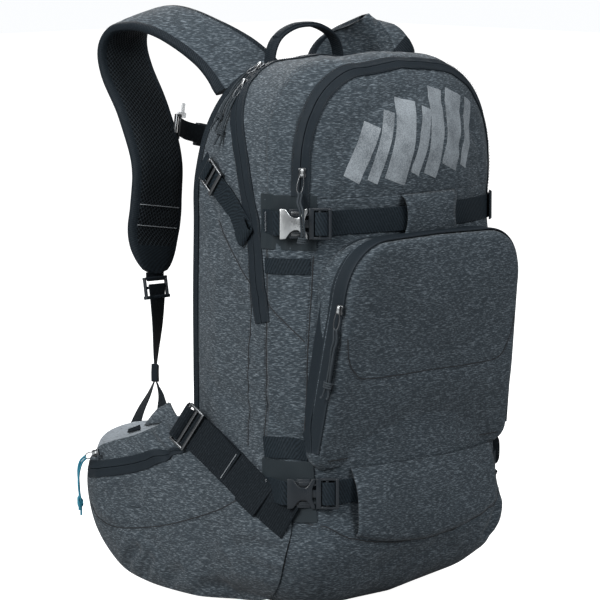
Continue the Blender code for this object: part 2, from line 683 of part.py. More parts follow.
def hip_belt(mark, flip):
    """The webbing folded in behind a fin's tip, and the half of the belt buckle on its end."""
    keep = mirrored if flip else list
    sign = 1 if flip else -1
    points = keep([(-0.1440, 0.2440, 0.1020), (-0.1380, 0.2520, 0.1000), (-0.1240, 0.2560, 0.0960),
                   (-0.1100, 0.2480, 0.0880), (-0.1030, 0.2330, 0.0790), (-0.1010, 0.2180, 0.0720)])
    sides = [(0, 0, 1), (0, 0, 1), (0, 0.1, 1), (0.1, 0.2, 1), (0.2, 0.3, 1), (0.2, 0.4, 1)]
    if flip:
        sides = [(-x, y, z) for x, y, z in sides]
    path = smooth_path(points, 9)
    u, v = 0.0125, WEBBING_THICK / 2
    bm = sweep(path, smooth_path([Vector(s) for s in sides], 9), [(-u, -v), (u, -v), (u, v), (-u, v)])
    add("hip_webbing_" + mark, bm, WEBBING)

    end = path[-1]
    along = (path[-1] - path[-2]).normalized()
    out = Vector((-sign, 0, 0))
    out = (out - along * out.dot(along)).normalized()
    side = along.cross(out)
    at = end + along * GAP * 2
    if mark == "left":
        socket = block(at, (along, side, out), (0, -0.017, -0.0045), (0.032, 0.017, 0.0045), 0.002)
        made = add("hip_buckle_socket", socket, PLASTIC)
        mouth = block(at, (along, side, out), (0.010, -0.0125, -0.0026), (0.040, 0.0125, 0.0026))
        cut(made, add("hip_buckle_mouth", mouth, PLASTIC))
    else:
        base = block(at, (along, side, out), (0, -0.017, -0.0035), (0.014, 0.017, 0.0035), 0.0015)
        made = add("hip_buckle_plug", base, PLASTIC)
        tongue = block(at, (along, side, out), (0.012, -0.011, -0.0020), (0.034, 0.011, 0.0020))
        cut(made, add("hip_buckle_tongue", tongue, PLASTIC), "UNION")


def hip_pocket_pulls(mark, flip):
    """The slider of a fin's zip, and the cord that hangs from it past the fin's tip."""
    sign = 1 if flip else -1
    at = Vector((sign * (FIN_X[1] + 0.0006), 0.2100, 0.1380))
    slider("hip_slider_" + mark, at, (0, 0.9, -0.35), (sign, 0, 0), 0.014)
    route = [(-0.1690, 0.2290, 0.1295), (-0.1700, 0.2400, 0.1255), (-0.1715, 0.2490, 0.1190),
             (-0.1710, 0.2545, 0.1080), (-0.1700, 0.2560, 0.0940), (-0.1690, 0.2555, 0.0800),
             (-0.1680, 0.2540, 0.0700)]
    if flip:
        route = mirrored(route)
    tube("hip_cord_" + mark, route, 0.0030, TEAL, count=12)


def sternum_strap():
    points = [(-0.0450, 0.2060, 0.4800), (-0.025, 0.2140, 0.4740), (0.0150, 0.2160, 0.4650),
              (0.0480, 0.2050, 0.4590), (0.0660, 0.1900, 0.4570)]
    ribbon("sternum_strap", points, UP, 0.020, 9)
    at = Vector((0.010, 0.2165 + 0.0012, 0.4662))
    axes = ((0.98, -0.02, -0.2), (0.2, 0, 0.98), (0, 1, 0))
    axes = tuple(Vector(a).normalized() for a in axes)
    add("sternum_buckle", block(at, axes, (-0.018, -0.0125, 0), (0.018, 0.0125, 0.007), 0.002), PLASTIC)


def build():
    clear_scene()
    main_bag()
    front_compartment()
    front_flap()
    back_panel()
    inner_pieces()
    pocket_tray()
    pocket_panel()
    zips()
    zip_pulls()
    compression_strap("upper")
    compression_strap("lower")
    strap_covers()
    grab_handle()
    shoulder_pad("shoulder_pad_left", LEFT_PAD, LEFT_SIDES)
    shoulder_pad("shoulder_pad_right", RIGHT_PAD, RIGHT_SIDES)
    for mark, flip in (("left", False), ("right", True)):
        side_straps(mark, flip)
        harness_side(mark, flip)
        hip_belt(mark, flip)
        hip_pocket_pulls(mark, flip)
    sternum_strap()


build()
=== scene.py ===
import json
import math

import bmesh
import bpy
import numpy as np
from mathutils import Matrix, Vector, noise
from mathutils.bvhtree import BVHTree

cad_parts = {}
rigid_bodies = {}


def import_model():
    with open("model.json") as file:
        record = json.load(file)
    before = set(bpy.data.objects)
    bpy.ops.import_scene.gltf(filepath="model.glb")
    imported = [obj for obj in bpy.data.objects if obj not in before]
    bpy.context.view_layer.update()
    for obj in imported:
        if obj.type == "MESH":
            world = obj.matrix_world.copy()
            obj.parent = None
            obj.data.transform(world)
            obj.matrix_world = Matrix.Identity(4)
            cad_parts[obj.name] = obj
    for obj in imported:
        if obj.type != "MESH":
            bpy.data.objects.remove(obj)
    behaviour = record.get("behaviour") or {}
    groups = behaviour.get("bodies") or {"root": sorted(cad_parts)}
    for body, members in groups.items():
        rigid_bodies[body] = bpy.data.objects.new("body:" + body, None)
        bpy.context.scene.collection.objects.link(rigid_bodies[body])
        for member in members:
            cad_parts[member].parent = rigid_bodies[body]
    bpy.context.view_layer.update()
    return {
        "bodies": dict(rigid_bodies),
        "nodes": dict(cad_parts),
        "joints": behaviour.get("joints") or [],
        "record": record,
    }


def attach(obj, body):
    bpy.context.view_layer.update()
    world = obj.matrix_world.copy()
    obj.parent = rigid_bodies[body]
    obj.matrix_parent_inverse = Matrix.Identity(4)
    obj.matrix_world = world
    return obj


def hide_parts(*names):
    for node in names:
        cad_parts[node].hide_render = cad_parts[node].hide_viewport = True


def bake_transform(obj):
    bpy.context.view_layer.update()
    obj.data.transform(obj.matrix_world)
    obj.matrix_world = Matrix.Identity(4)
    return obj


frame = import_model()
nodes = frame["nodes"]
scene = bpy.context.scene
print("frame loaded:", len(nodes), "nodes")

# ---- camera, light and floor

view = {"aim": (-0.034, 0.034, 0.3066), "turn": -45.0, "rise": 7.4, "distance": 3.6, "lens": 205.2}
studio = {"sky": (0.97, 0.985, 1.0), "skyPower": 0.3, "skySeen": 1.0, "exposure": 0.0, "floorGlow": 1.0}
lamps = {  # place, aim, size, power, colour
    "keyLamp": ((-2.4, -0.3, 1.7), (0.0, 0.0, 0.3), 1.5, 104.0, (1.0, 0.995, 0.985)),
    "frontLamp": ((0.5, -2.5, 2.2), (0.0, 0.0, 0.4), 1.5, 66.0, (0.96, 0.98, 1.0)),
    "backLamp": ((1.2, 2.2, 1.8), (0.0, 0.1, 0.4), 1.6, 40.0, (1.0, 1.0, 1.0)),
    "topLamp": ((-0.2, 0.2, 2.6), (0.0, 0.0, 0.4), 1.6, 30.0, (1.0, 1.0, 1.0)),
}


def makeCamera():
    turn, rise = math.radians(view["turn"]), math.radians(view["rise"])
    back = Vector((math.sin(turn) * math.cos(rise), -math.cos(turn) * math.cos(rise), math.sin(rise)))
    data = bpy.data.cameras.new("camera")
    data.lens, data.sensor_width = view["lens"], 36.0
    data.clip_start, data.clip_end = 0.1, 50.0
    camera = bpy.data.objects.new("camera", data)
    camera.location = Vector(view["aim"]) + back * view["distance"]
    camera.rotation_mode = "QUATERNION"
    camera.rotation_quaternion = (-back).to_track_quat("-Z", "Y")
    scene.collection.objects.link(camera)
    scene.camera = camera


def makeLamps():
    for name, (place, aim, size, power, colour) in lamps.items():
        data = bpy.data.lights.new(name, "AREA")
        data.shape, data.size, data.energy, data.color = "DISK", size, power, colour
        lamp = bpy.data.objects.new(name, data)
        lamp.location = place
        lamp.rotation_mode = "QUATERNION"
        lamp.rotation_quaternion = (Vector(aim) - Vector(place)).to_track_quat("-Z", "Y")
        scene.collection.objects.link(lamp)
    world = bpy.data.worlds.new("studio")
    world.use_nodes = True
    sky = world.node_tree.nodes["Background"]
    sky.inputs["Color"].default_value = (*studio["sky"], 1.0)
    # the backdrop reads plain white, while the light it sheds stays soft
    seen = world.node_tree.nodes.new("ShaderNodeLightPath")
    power = world.node_tree.nodes.new("ShaderNodeMapRange")
    power.inputs["To Min"].default_value, power.inputs["To Max"].default_value = studio["skyPower"], studio["skySeen"]
    world.node_tree.links.new(seen.outputs["Is Camera Ray"], power.inputs["Value"])
    world.node_tree.links.new(power.outputs["Result"], sky.inputs["Strength"])
    scene.world = world
    scene.view_settings.view_transform = "Standard"
    scene.view_settings.exposure = studio["exposure"]


# ---- node helpers


def newNode(tree, kind, **settings):
    made = tree.nodes.new(kind)
    for key, value in settings.items():
        setattr(made, key, value)
    return made


def feed(tree, target, name, source):
    if isinstance(source, bpy.types.NodeSocket):
        tree.links.new(source, target.inputs[name])
    else:
        target.inputs[name].default_value = source


def newGroup(name, **inputs):
    # every group gives a colour, a height for the bump and a roughness
    tree = bpy.data.node_groups.new(name, "ShaderNodeTree")
    for label, value in inputs.items():
        kind = colour if isinstance(value, tuple) else number
        tree.interface.new_socket(label, in_out="INPUT", socket_type=kind).default_value = value
    for label, kind in (("Color", colour), ("Height", number), ("Rough", number)):
        tree.interface.new_socket(label, in_out="OUTPUT", socket_type=kind)
    return tree, tree.nodes.new("NodeGroupInput"), tree.nodes.new("NodeGroupOutput")


def closeGroup(tree, out, shade, height, rough):
    for label, source in (("Color", shade), ("Height", height), ("Rough", rough)):
        tree.links.new(source, out.inputs[label])
    return tree


def mathNode(tree, operation, first, second=0.5, third=None):
    made = newNode(tree, "ShaderNodeMath", operation=operation)
    feed(tree, made, 0, first)
    feed(tree, made, 1, second)
    if third is not None:
        feed(tree, made, 2, third)
    return made.outputs[0]


def mixColour(tree, share, first, second, blend="MIX"):
    made = newNode(tree, "ShaderNodeMix", data_type="RGBA", blend_type=blend)
    feed(tree, made, 0, share)
    feed(tree, made, 6, first)
    feed(tree, made, 7, second)
    return made.outputs[2]


def spread(tree, value, low, high, toLow=0.0, toHigh=1.0):
    made = newNode(tree, "ShaderNodeMapRange")
    feed(tree, made, "Value", value)
    for key, number in zip(("From Min", "From Max", "To Min", "To Max"), (low, high, toLow, toHigh)):
        feed(tree, made, key, number)
    return made.outputs[0]


def scaled(tree, vector, scale, turn=(0, 0, 0)):
    made = newNode(tree, "ShaderNodeMapping")
    feed(tree, made, "Vector", vector)
    made.inputs["Scale"].default_value = scale
    made.inputs["Rotation"].default_value = [math.radians(a) for a in turn]
    return made.outputs[0]


def noiseNode(tree, vector, scale=1.0, detail=2.0, rough=0.5):
    made = newNode(tree, "ShaderNodeTexNoise")
    feed(tree, made, "Vector", vector)
    feed(tree, made, "Scale", scale)
    feed(tree, made, "Detail", detail)
    feed(tree, made, "Roughness", rough)
    return made.outputs["Fac"]


colour, number = "NodeSocketColor", "NodeSocketFloat"


def heatherGroup():
    # melange yarn: pale and dark flecks lying level, a fine twill and slow shifts of tone
    tree, given, out = newGroup("heatherWeave", Base=(0.05, 0.06, 0.07, 1), Fleck=(0.2, 0.22, 0.24, 1),
                                FleckShare=0.5, TwillShare=0.1)
    place = newNode(tree, "ShaderNodeTexCoord").outputs["Object"]
    pale = spread(tree, noiseNode(tree, scaled(tree, place, (190, 190, 1250)), 1, 3, 0.6), 0.5, 0.68)
    dark = spread(tree, noiseNode(tree, scaled(tree, place, (130, 130, 950)), 1.1, 3, 0.6), 0.5, 0.72)
    tone = spread(tree, noiseNode(tree, place, 9, 3, 0.6), 0.3, 0.7, 0.9, 1.1)
    wave = newNode(tree, "ShaderNodeTexWave", bands_direction="DIAGONAL")
    feed(tree, wave, "Vector", scaled(tree, place, (1, 1, 1)))
    feed(tree, wave, "Scale", 150.0)
    feed(tree, wave, "Distortion", 0.6)
    base = mixColour(tree, mathNode(tree, "MULTIPLY", pale, given.outputs["FleckShare"]),
                     given.outputs["Base"], given.outputs["Fleck"])
    base = mixColour(tree, mathNode(tree, "MULTIPLY", dark, 0.45), base, (0.004, 0.005, 0.006, 1))
    shade = mathNode(tree, "MULTIPLY", wave.outputs["Fac"], given.outputs["TwillShare"])
    base = mixColour(tree, shade, base, (0.012, 0.014, 0.017, 1))
    toned = newNode(tree, "ShaderNodeVectorMath", operation="SCALE")
    feed(tree, toned, 0, base)
    feed(tree, toned, "Scale", tone)
    fine = noiseNode(tree, scaled(tree, place, (900, 900, 1700)), 1, 1, 0.5)
    height = mathNode(tree, "ADD", mathNode(tree, "MULTIPLY", fine, 0.6),
                      mathNode(tree, "MULTIPLY", wave.outputs["Fac"], 0.25))
    return closeGroup(tree, out, toned.outputs[0], height, spread(tree, pale, 0, 1, 0.92, 0.72))


def ribGroup():
    # woven tape: ribs along the strip, a finer thread across them and plain selvages; the grooves between the ribs
    # are darkened as painted shade, and noise patches of fuzz are paler as a painted sheen
    tree, given, out = newGroup("tapeRibs", Base=(0.02, 0.025, 0.03, 1), Pitch=0.0016, Slant=0.0, Depth=0.5)
    uv = newNode(tree, "ShaderNodeUVMap", uv_map="strip").outputs[0]
    split = newNode(tree, "ShaderNodeSeparateXYZ")
    feed(tree, split, 0, uv)
    slanted = mathNode(tree, "ADD", split.outputs[0],
                       mathNode(tree, "MULTIPLY", split.outputs[1], given.outputs["Slant"]))
    turns = mathNode(tree, "DIVIDE", slanted, given.outputs["Pitch"])
    rib = mathNode(tree, "SINE", mathNode(tree, "MULTIPLY", turns, 2 * math.pi))
    rib = spread(tree, rib, -1, 1)
    across = mathNode(tree, "SINE", mathNode(tree, "MULTIPLY", split.outputs[1], 2 * math.pi / 0.0011))
    across = spread(tree, across, -1, 1)
    fuzzSheen = noiseNode(tree, uv, 420, 2, 0.6)
    height = mathNode(tree, "ADD", mathNode(tree, "MULTIPLY", rib, given.outputs["Depth"]),
                      mathNode(tree, "MULTIPLY", across, 0.25))
    # painted shade: the colour goes near black in the grooves, where the rib height is low
    low = mixColour(tree, spread(tree, height, 0, 0.75, 0.85, 0.0), given.outputs["Base"], (0.003, 0.004, 0.005, 1))
    # painted sheen: the fuzz noise lifts the colour to a paler blue-grey in patches
    lit = mixColour(tree, spread(tree, fuzzSheen, 0.5, 0.8, 0, 0.35), low, (0.03, 0.038, 0.046, 1))
    return closeGroup(tree, out, lit, height, spread(tree, rib, 0, 1, 0.8, 0.55))


def knitGroup():
    # spacer mesh: rows of small open cells between shiny yarns; the cells are near black, partly the dark layer
    # beneath and partly painted shade, and the yarns carry a painted sheen in noise patches
    tree, given, out = newGroup("meshKnit", Yarn=(0.08, 0.09, 0.1, 1), Hole=(0.002, 0.002, 0.003, 1),
                                Pitch=0.0042, UseStrip=1.0)
    uv = newNode(tree, "ShaderNodeUVMap", uv_map="strip").outputs[0]
    place = newNode(tree, "ShaderNodeTexCoord").outputs["Object"]
    flat = newNode(tree, "ShaderNodeSeparateXYZ")
    feed(tree, flat, 0, place)
    level = newNode(tree, "ShaderNodeCombineXYZ")
    tree.links.new(flat.outputs[2], level.inputs[0])
    tree.links.new(mathNode(tree, "ADD", flat.outputs[0], flat.outputs[1]), level.inputs[1])
    chosen = newNode(tree, "ShaderNodeMix", data_type="VECTOR")
    feed(tree, chosen, 0, given.outputs["UseStrip"])
    feed(tree, chosen, 4, level.outputs[0])
    feed(tree, chosen, 5, uv)
    split = newNode(tree, "ShaderNodeSeparateXYZ")
    tree.links.new(chosen.outputs[1], split.inputs[0])
    def bars(a, b):
        s = mathNode(tree, "ADD", mathNode(tree, "MULTIPLY", split.outputs[0], a),
                     mathNode(tree, "MULTIPLY", split.outputs[1], b))
        turns = mathNode(tree, "DIVIDE", s, given.outputs["Pitch"])
        return mathNode(tree, "ABSOLUTE", mathNode(tree, "SINE", mathNode(tree, "MULTIPLY", turns, math.pi)))
    cells = mathNode(tree, "MULTIPLY", bars(1.0, 0.75), bars(0.55, -1.15))
    yarn = spread(tree, cells, 0.1, 0.55, 1.0, 0.0)
    # painted sheen: noise makes the yarn colour paler and darker in patches; the open cells get the near-black Hole
    # colour, partly painted shade
    sheen = noiseNode(tree, chosen.outputs[1], 300, 2, 0.6)
    lit = mixColour(tree, mathNode(tree, "MULTIPLY", yarn, spread(tree, sheen, 0.3, 0.7, 0.55, 1.0)),
                    given.outputs["Hole"], given.outputs["Yarn"])
    return closeGroup(tree, out, lit, yarn, spread(tree, yarn, 0, 1, 0.9, 0.42))


def grainGroup():
    # moulded or coated surface: fine grain, a few paler scuffs of wear, and sharp edges painted paler as a painted
    # highlight
    tree, given, out = newGroup("moulded", Base=(0.02, 0.02, 0.02, 1), Rubbed=(0.06, 0.06, 0.07, 1),
                                RoughLow=0.3, RoughHigh=0.5, Grain=900.0)
    place = newNode(tree, "ShaderNodeTexCoord").outputs["Object"]
    fine = noiseNode(tree, place, given.outputs["Grain"], 2, 0.6)
    broad = noiseNode(tree, place, 60.0, 4, 0.65)
    scuff = spread(tree, noiseNode(tree, scaled(tree, place, (120, 500, 90)), 1, 2, 0.7), 0.62, 0.75)
    # painted highlight: the convex edges, found by pointiness, take the paler colour
    edge = spread(tree, newNode(tree, "ShaderNodeNewGeometry").outputs["Pointiness"], 0.52, 0.62, 0, 0.7)
    scuffAndEdgeLight = mathNode(tree, "MAXIMUM", mathNode(tree, "MULTIPLY", scuff, 0.35), edge)
    base = mixColour(tree, scuffAndEdgeLight, given.outputs["Base"], given.outputs["Rubbed"])
    rough = spread(tree, broad, 0.35, 0.65, given.outputs["RoughLow"], given.outputs["RoughHigh"])
    return closeGroup(tree, out, base, fine, rough)


def wornGroup():
    # transfer print: speckled where the weave shows through, rubbed away in broad patches
    tree, given, out = newGroup("wornPrint", Ink=(0.2, 0.2, 0.2, 1), Bare=(0.05, 0.05, 0.05, 1), Wear=0.5)
    place = newNode(tree, "ShaderNodeTexCoord").outputs["Object"]
    fine = noiseNode(tree, place, 750, 3, 0.7)
    broad = spread(tree, noiseNode(tree, place, 26, 3, 0.6), 0.42, 0.66)
    rubbed = mathNode(tree, "ADD", spread(tree, fine, 0.4, 0.62, 0.0, 0.55),
                      mathNode(tree, "MULTIPLY", broad, given.outputs["Wear"]))
    base = mixColour(tree, rubbed, given.outputs["Ink"], given.outputs["Bare"])
    return closeGroup(tree, out, base, fine, spread(tree, rubbed, 0, 1, 0.45, 0.75))


groups = {"worn": wornGroup(), "heather": heatherGroup(), "rib": ribGroup(), "knit": knitGroup(),
          "grain": grainGroup()}


def makeMaterial(name, group, values, bump=0.3, reach=0.0006, metallic=0.0, sheen=0.0, specular=0.4, alpha=1.0,
                 coat=0.0):
    made = bpy.data.materials.new(name)
    made.use_nodes = True
    tree = made.node_tree
    shader = tree.nodes["Principled BSDF"]
    look = newNode(tree, "ShaderNodeGroup", node_tree=groups[group])
    for socket, value in zip(look.inputs, values):
        socket.default_value = (*value, 1.0) if isinstance(value, tuple) else value
    tree.links.new(look.outputs["Color"], shader.inputs["Base Color"])
    tree.links.new(look.outputs["Rough"], shader.inputs["Roughness"])
    relief = newNode(tree, "ShaderNodeBump")
    relief.inputs["Strength"].default_value = bump
    relief.inputs["Distance"].default_value = reach
    tree.links.new(look.outputs["Height"], relief.inputs["Height"])
    tree.links.new(relief.outputs["Normal"], shader.inputs["Normal"])
    shader.inputs["Metallic"].default_value = metallic
    shader.inputs["Specular IOR Level"].default_value = specular
    shader.inputs["Sheen Weight"].default_value = sheen
    shader.inputs["Sheen Roughness"].default_value = 0.5
    shader.inputs["Coat Weight"].default_value = coat
    if alpha < 1.0:
        shader.inputs["Alpha"].default_value = alpha
    return made


looks = {  # slot, node group, its inputs in order, strength and reach of the bump, other settings
    "shellCloth": ("fabric", "heather", ((0.0225, 0.031, 0.0385), (0.16, 0.192, 0.218), 0.66, 0.22),
                   0.35, 0.0005, {"sheen": 0.04, "specular": 0.15}),
    "sideCloth": ("fabric", "heather", ((0.027, 0.036, 0.044), (0.18, 0.212, 0.238), 0.66, 0.2),
                  0.35, 0.0005, {"sheen": 0.05, "specular": 0.15}),
    "zipTape": ("zip", "grain", ((0.0085, 0.0125, 0.0165), (0.022, 0.028, 0.034), 0.55, 0.7, 1500.0),
                0.12, 0.0003, {"specular": 0.1}),
    "binding": ("webbing", "rib", ((0.01, 0.015, 0.02), 0.0021, 0.35, 0.5),
                0.35, 0.0005, {"specular": 0.08}),
    "webbing": ("webbing", "rib", ((0.01, 0.016, 0.0215), 0.0034, 0.55, 0.55),
                0.4, 0.0006, {"specular": 0.08}),
    "wideWebbing": ("webbing", "rib", ((0.0065, 0.0095, 0.0125), 0.0026, 0.0, 0.6),
                    0.5, 0.0006, {"specular": 0.06}),
    "plainWebbing": ("webbing", "rib", ((0.0055, 0.009, 0.0125), 0.0014, 0.3, 0.25),
                     0.2, 0.0004, {"specular": 0.1}),
    "knit": ("foam", "knit", ((0.018, 0.024, 0.029), (0.002, 0.003, 0.004), 0.0044, 1.0),
             0.6, 0.0012, {"specular": 0.1}),
    "padKnit": ("foam", "knit", ((0.022, 0.027, 0.032), (0.002, 0.003, 0.004), 0.005, 0.0),
                0.6, 0.0014, {"specular": 0.15}),
    "plastic": ("plastic", "grain", ((0.0065, 0.0095, 0.013), (0.016, 0.021, 0.026), 0.25, 0.42, 1200.0),
                0.08, 0.0002, {"specular": 0.35}),
    "silver": ("metal", "grain", ((0.5, 0.52, 0.53), (0.78, 0.8, 0.8), 0.22, 0.38, 2200.0),
               0.06, 0.0002, {"metallic": 1.0}),
    "darkMetal": ("metal", "grain", ((0.075, 0.08, 0.085), (0.26, 0.27, 0.28), 0.25, 0.4, 1800.0),
                  0.06, 0.0002, {"metallic": 1.0}),
    "pullCord": ("pull_cord", "grain", ((0.014, 0.019, 0.0235), (0.042, 0.05, 0.057), 0.6, 0.8, 1600.0),
                 0.5, 0.0005, {"specular": 0.15}),
    "tealCord": ("teal_cord", "grain", ((0.008, 0.105, 0.165), (0.03, 0.22, 0.3), 0.55, 0.75, 1600.0),
                 0.5, 0.0005, {}),
    "lining": ("lining", "heather", ((0.21, 0.235, 0.26), (0.34, 0.37, 0.4), 0.35, 0.02),
               0.25, 0.0004, {}),
    "oliveTape": ("webbing", "grain", ((0.013, 0.018, 0.0215), (0.02, 0.026, 0.03), 0.5, 0.65, 1500.0),
                  0.12, 0.0003, {"specular": 0.1}),
    "seamThread": ("pull_cord", "grain", ((0.004, 0.005, 0.007), (0.02, 0.023, 0.026), 0.7, 0.85, 1500.0),
                   0.3, 0.0003, {}),
    "paleThread": ("webbing", "grain", ((0.11, 0.122, 0.135), (0.2, 0.215, 0.23), 0.6, 0.75, 1500.0),
                   0.3, 0.0003, {}),
    "clearPlastic": ("plastic", "grain", ((0.55, 0.58, 0.6), (0.7, 0.72, 0.74), 0.15, 0.28, 900.0),
                     0.05, 0.0002, {"alpha": 0.55}),
    "print": ("fabric", "worn", ((0.2, 0.225, 0.245), (0.055, 0.066, 0.076), 0.5),
              0.25, 0.0003, {"specular": 0.4}),
    "floor": (None, "grain", ((0.36, 0.363, 0.366), (0.38, 0.383, 0.386), 0.75, 0.85, 3.0),
              0.0, 0.0001, {"specular": 0.1}),
}
finishes = {name: makeMaterial(name, *look[1:5], **look[5]) for name, look in looks.items()}
glow = finishes["floor"].node_tree
glowPath = glow.nodes.new("ShaderNodeLightPath")
glowPower = mathNode(glow, "MULTIPLY", glowPath.outputs["Is Camera Ray"], studio["floorGlow"])
glow.nodes["Principled BSDF"].inputs["Emission Color"].default_value = (1.0, 1.0, 1.0, 1.0)
glow.links.new(glowPower, glow.nodes["Principled BSDF"].inputs["Emission Strength"])
print("materials made:", len(finishes))

# ---- mesh helpers

hands = (("Left", 1), ("Right", -1))
upward, rearward = Vector((0, 0, 1)), Vector((0, 1, 0))


def placePiece(obj, body, finish, replaced=()):
    if not obj.data.materials:
        obj.data.materials.append(finishes[finish])
    if isinstance(body, str):
        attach(obj, body)
    if replaced:
        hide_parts(*replaced)
    return obj


def settle(obj, body, finish, replaced):
    # a piece without a body is returned as it is, for the caller to join or to place
    return placePiece(obj, body, finish, replaced) if body else obj


def meshPiece(name, points, faces, body=None, finish="shellCloth", replaced=(), uvs=None, sharp=40):
    mesh = bpy.data.meshes.new(name)
    mesh.from_pydata([tuple(p) for p in points], [], faces)
    if uvs is not None:
        layer = mesh.uv_layers.new(name="strip")
        picked = np.array(uvs, np.float32)[[loop.vertex_index for loop in mesh.loops]]
        layer.data.foreach_set("uv", picked.ravel())
    mesh.shade_smooth()
    mesh.set_sharp_from_angle(angle=math.radians(sharp))
    obj = bpy.data.objects.new(name, mesh)
    scene.collection.objects.link(obj)
    obj.data.materials.append(finishes[finish])
    return settle(obj, body, finish, replaced)


def fixNormals(obj):
    bm = bmesh.new()
    bm.from_mesh(obj.data)
    bmesh.ops.recalc_face_normals(bm, faces=bm.faces)
    bm.to_mesh(obj.data)
    bm.free()


def smoothPath(points, count):
    points = [Vector(p) for p in points]
    padded = [2 * points[0] - points[1], *points, 2 * points[-1] - points[-2]]
    fine = []
    for a, b, c, d in zip(padded, padded[1:], padded[2:], padded[3:]):
        for step in range(16):
            t = step / 16
            fine.append(0.5 * (2 * b + (c - a) * t + (2 * a - 5 * b + 4 * c - d) * t**2
                               + (3 * b - a - 3 * c + d) * t**3))
    fine.append(points[-1])
    return evenly(fine, count)


def evenly(fine, count):
    lengths = [0.0]
    for p, q in zip(fine, fine[1:]):
        lengths.append(lengths[-1] + (q - p).length)
    made, at = [], 0
    for i in range(count):
        wanted = lengths[-1] * i / (count - 1)
        while at < len(fine) - 2 and lengths[at + 1] < wanted:
            at += 1
        step = max(lengths[at + 1] - lengths[at], 1e-9)
        made.append(fine[at].lerp(fine[at + 1], min(max((wanted - lengths[at]) / step, 0), 1)))
    return made


def heading(path, i):
    return (path[min(i + 1, len(path) - 1)] - path[max(i - 1, 0)]).normalized()


def mirrored(points, sign):
    return [Vector((x * sign, y, z)) for x, y, z in points]


def squareTo(direction, along):
    return (direction - along * direction.dot(along)).normalized()


def pathLength(path):
    return sum((q - p).length for p, q in zip(path, path[1:]))


def ease(t):
    t = min(max(t, 0.0), 1.0)
    return t * t * (3 - 2 * t)


def gridPiece(name, rows, body, finish, replaced=(), closedRows=False, uvScale=None, caps=False, sharp=40):
    count, wide = len(rows), len(rows[0])
    points = [p for row in rows for p in row]
    faces = []
    for i in range(count - 1):
        for j in range(wide if closedRows else wide - 1):
            k = (j + 1) % wide
            faces.append((i * wide + j, i * wide + k, (i + 1) * wide + k, (i + 1) * wide + j))
    if caps:
        faces.append(tuple(range(wide))[::-1])
        faces.append(tuple(range((count - 1) * wide, count * wide)))
    uvs = None
    if uvScale is not None:
        along = 0.0
        middle = wide // 2
        uvs = []
        for i, row in enumerate(rows):
            if i:
                along += (Vector(row[middle]) - Vector(rows[i - 1][middle])).length
            across = 0.0
            for j, p in enumerate(row):
                if j:
                    across += (Vector(p) - Vector(row[j - 1])).length
                uvs.append((along, across))
    obj = meshPiece(name, points, faces, None, finish, (), uvs, sharp)
    fixNormals(obj)
    return settle(obj, body, finish, replaced)


def stripRing(middle, side, out, width, thick, crown, rows=4):
    top, low = [], []
    for j in range(rows + 1):
        u = (j / rows - 0.5) * width
        v = crown * (1 - (2 * j / rows - 1) ** 2)
        top.append(middle + side * u + out * (thick / 2 + v))
        low.append(middle + side * u + out * (-thick / 2 + v))
    return top + low[::-1]


def band(name, path, sides, width, thick, body, finish, replaced=(), crown=0.0, widths=None, bevel=True):
    rings = []
    for i, point in enumerate(path):
        along = heading(path, i)
        side = Vector(sides[i] if isinstance(sides, list) else sides)
        side = squareTo(side, along)
        rings.append(stripRing(point, side, along.cross(side), widths[i] if widths else width, thick, crown))
    obj = gridPiece(name, rings, None, finish, closedRows=True, uvScale=1, caps=True, sharp=50)
    if bevel:
        addBevel(obj, min(thick * 0.3, 0.0006), 2)
    return settle(obj, body, finish, replaced)


def addBevel(obj, width, segments=2, angle=40):
    mod = obj.modifiers.new("soften", "BEVEL")
    mod.width, mod.segments, mod.limit_method = width, segments, "ANGLE"
    mod.angle_limit = math.radians(angle)
    return obj


def wire(name, path, diameter, body, finish, replaced=(), resolution=3, cyclic=False):
    curve = bpy.data.curves.new(name, "CURVE")
    curve.dimensions = "3D"
    curve.bevel_depth, curve.bevel_resolution, curve.use_fill_caps = diameter / 2, resolution, True
    spline = curve.splines.new("POLY")
    spline.points.add(len(path) - 1)
    spline.use_cyclic_u = cyclic
    for target, point in zip(spline.points, path):
        target.co = (*point, 1.0)
    spline.use_smooth = True
    obj = bpy.data.objects.new(name, curve)
    scene.collection.objects.link(obj)
    curve.materials.append(finishes[finish])
    return settle(obj, body, finish, replaced)


def rung(x0, x1, half, z0, z1):
    # a bar right across a buckle
    return [((x0, -half, z0), (x1, half, z1))]


def rails(x0, x1, inner, outer, z0, z1):
    # the two side bars of a buckle
    return [((x0, -outer, z0), (x1, -inner, z1)), ((x0, inner, z0), (x1, outer, z1))]


def bars(name, origin, axes, boxes, bevel, body, finish, replaced=(), segments=3):
    a, b, c = (Vector(axis).normalized() for axis in axes)
    origin = Vector(origin)
    points, faces = [], []
    for low, high in boxes:
        start = len(points)
        for x in (low[0], high[0]):
            for y, z in ((low[1], low[2]), (high[1], low[2]), (high[1], high[2]), (low[1], high[2])):
                points.append(origin + a * x + b * y + c * z)
        for face in ((0, 1, 2, 3), (7, 6, 5, 4), (0, 4, 5, 1), (1, 5, 6, 2), (2, 6, 7, 3), (3, 7, 4, 0)):
            faces.append(tuple(start + i for i in face))
    obj = meshPiece(name, points, faces, None, finish)
    fixNormals(obj)
    addBevel(obj, bevel, segments)
    return settle(obj, body, finish, replaced)


def plate(name, origin, axes, outline, low, high, bevel, body, finish, replaced=(), segments=3):
    a, b, c = (Vector(axis).normalized() for axis in axes)
    origin, count = Vector(origin), len(outline)
    points = [origin + a * x + b * y + c * z for z in (low, high) for x, y in outline]
    faces = [tuple(range(count))[::-1], tuple(range(count, 2 * count))]
    faces += [(i, (i + 1) % count, count + (i + 1) % count, count + i) for i in range(count)]
    obj = meshPiece(name, points, faces, None, finish)
    fixNormals(obj)
    addBevel(obj, bevel, segments)
    return settle(obj, body, finish, replaced)


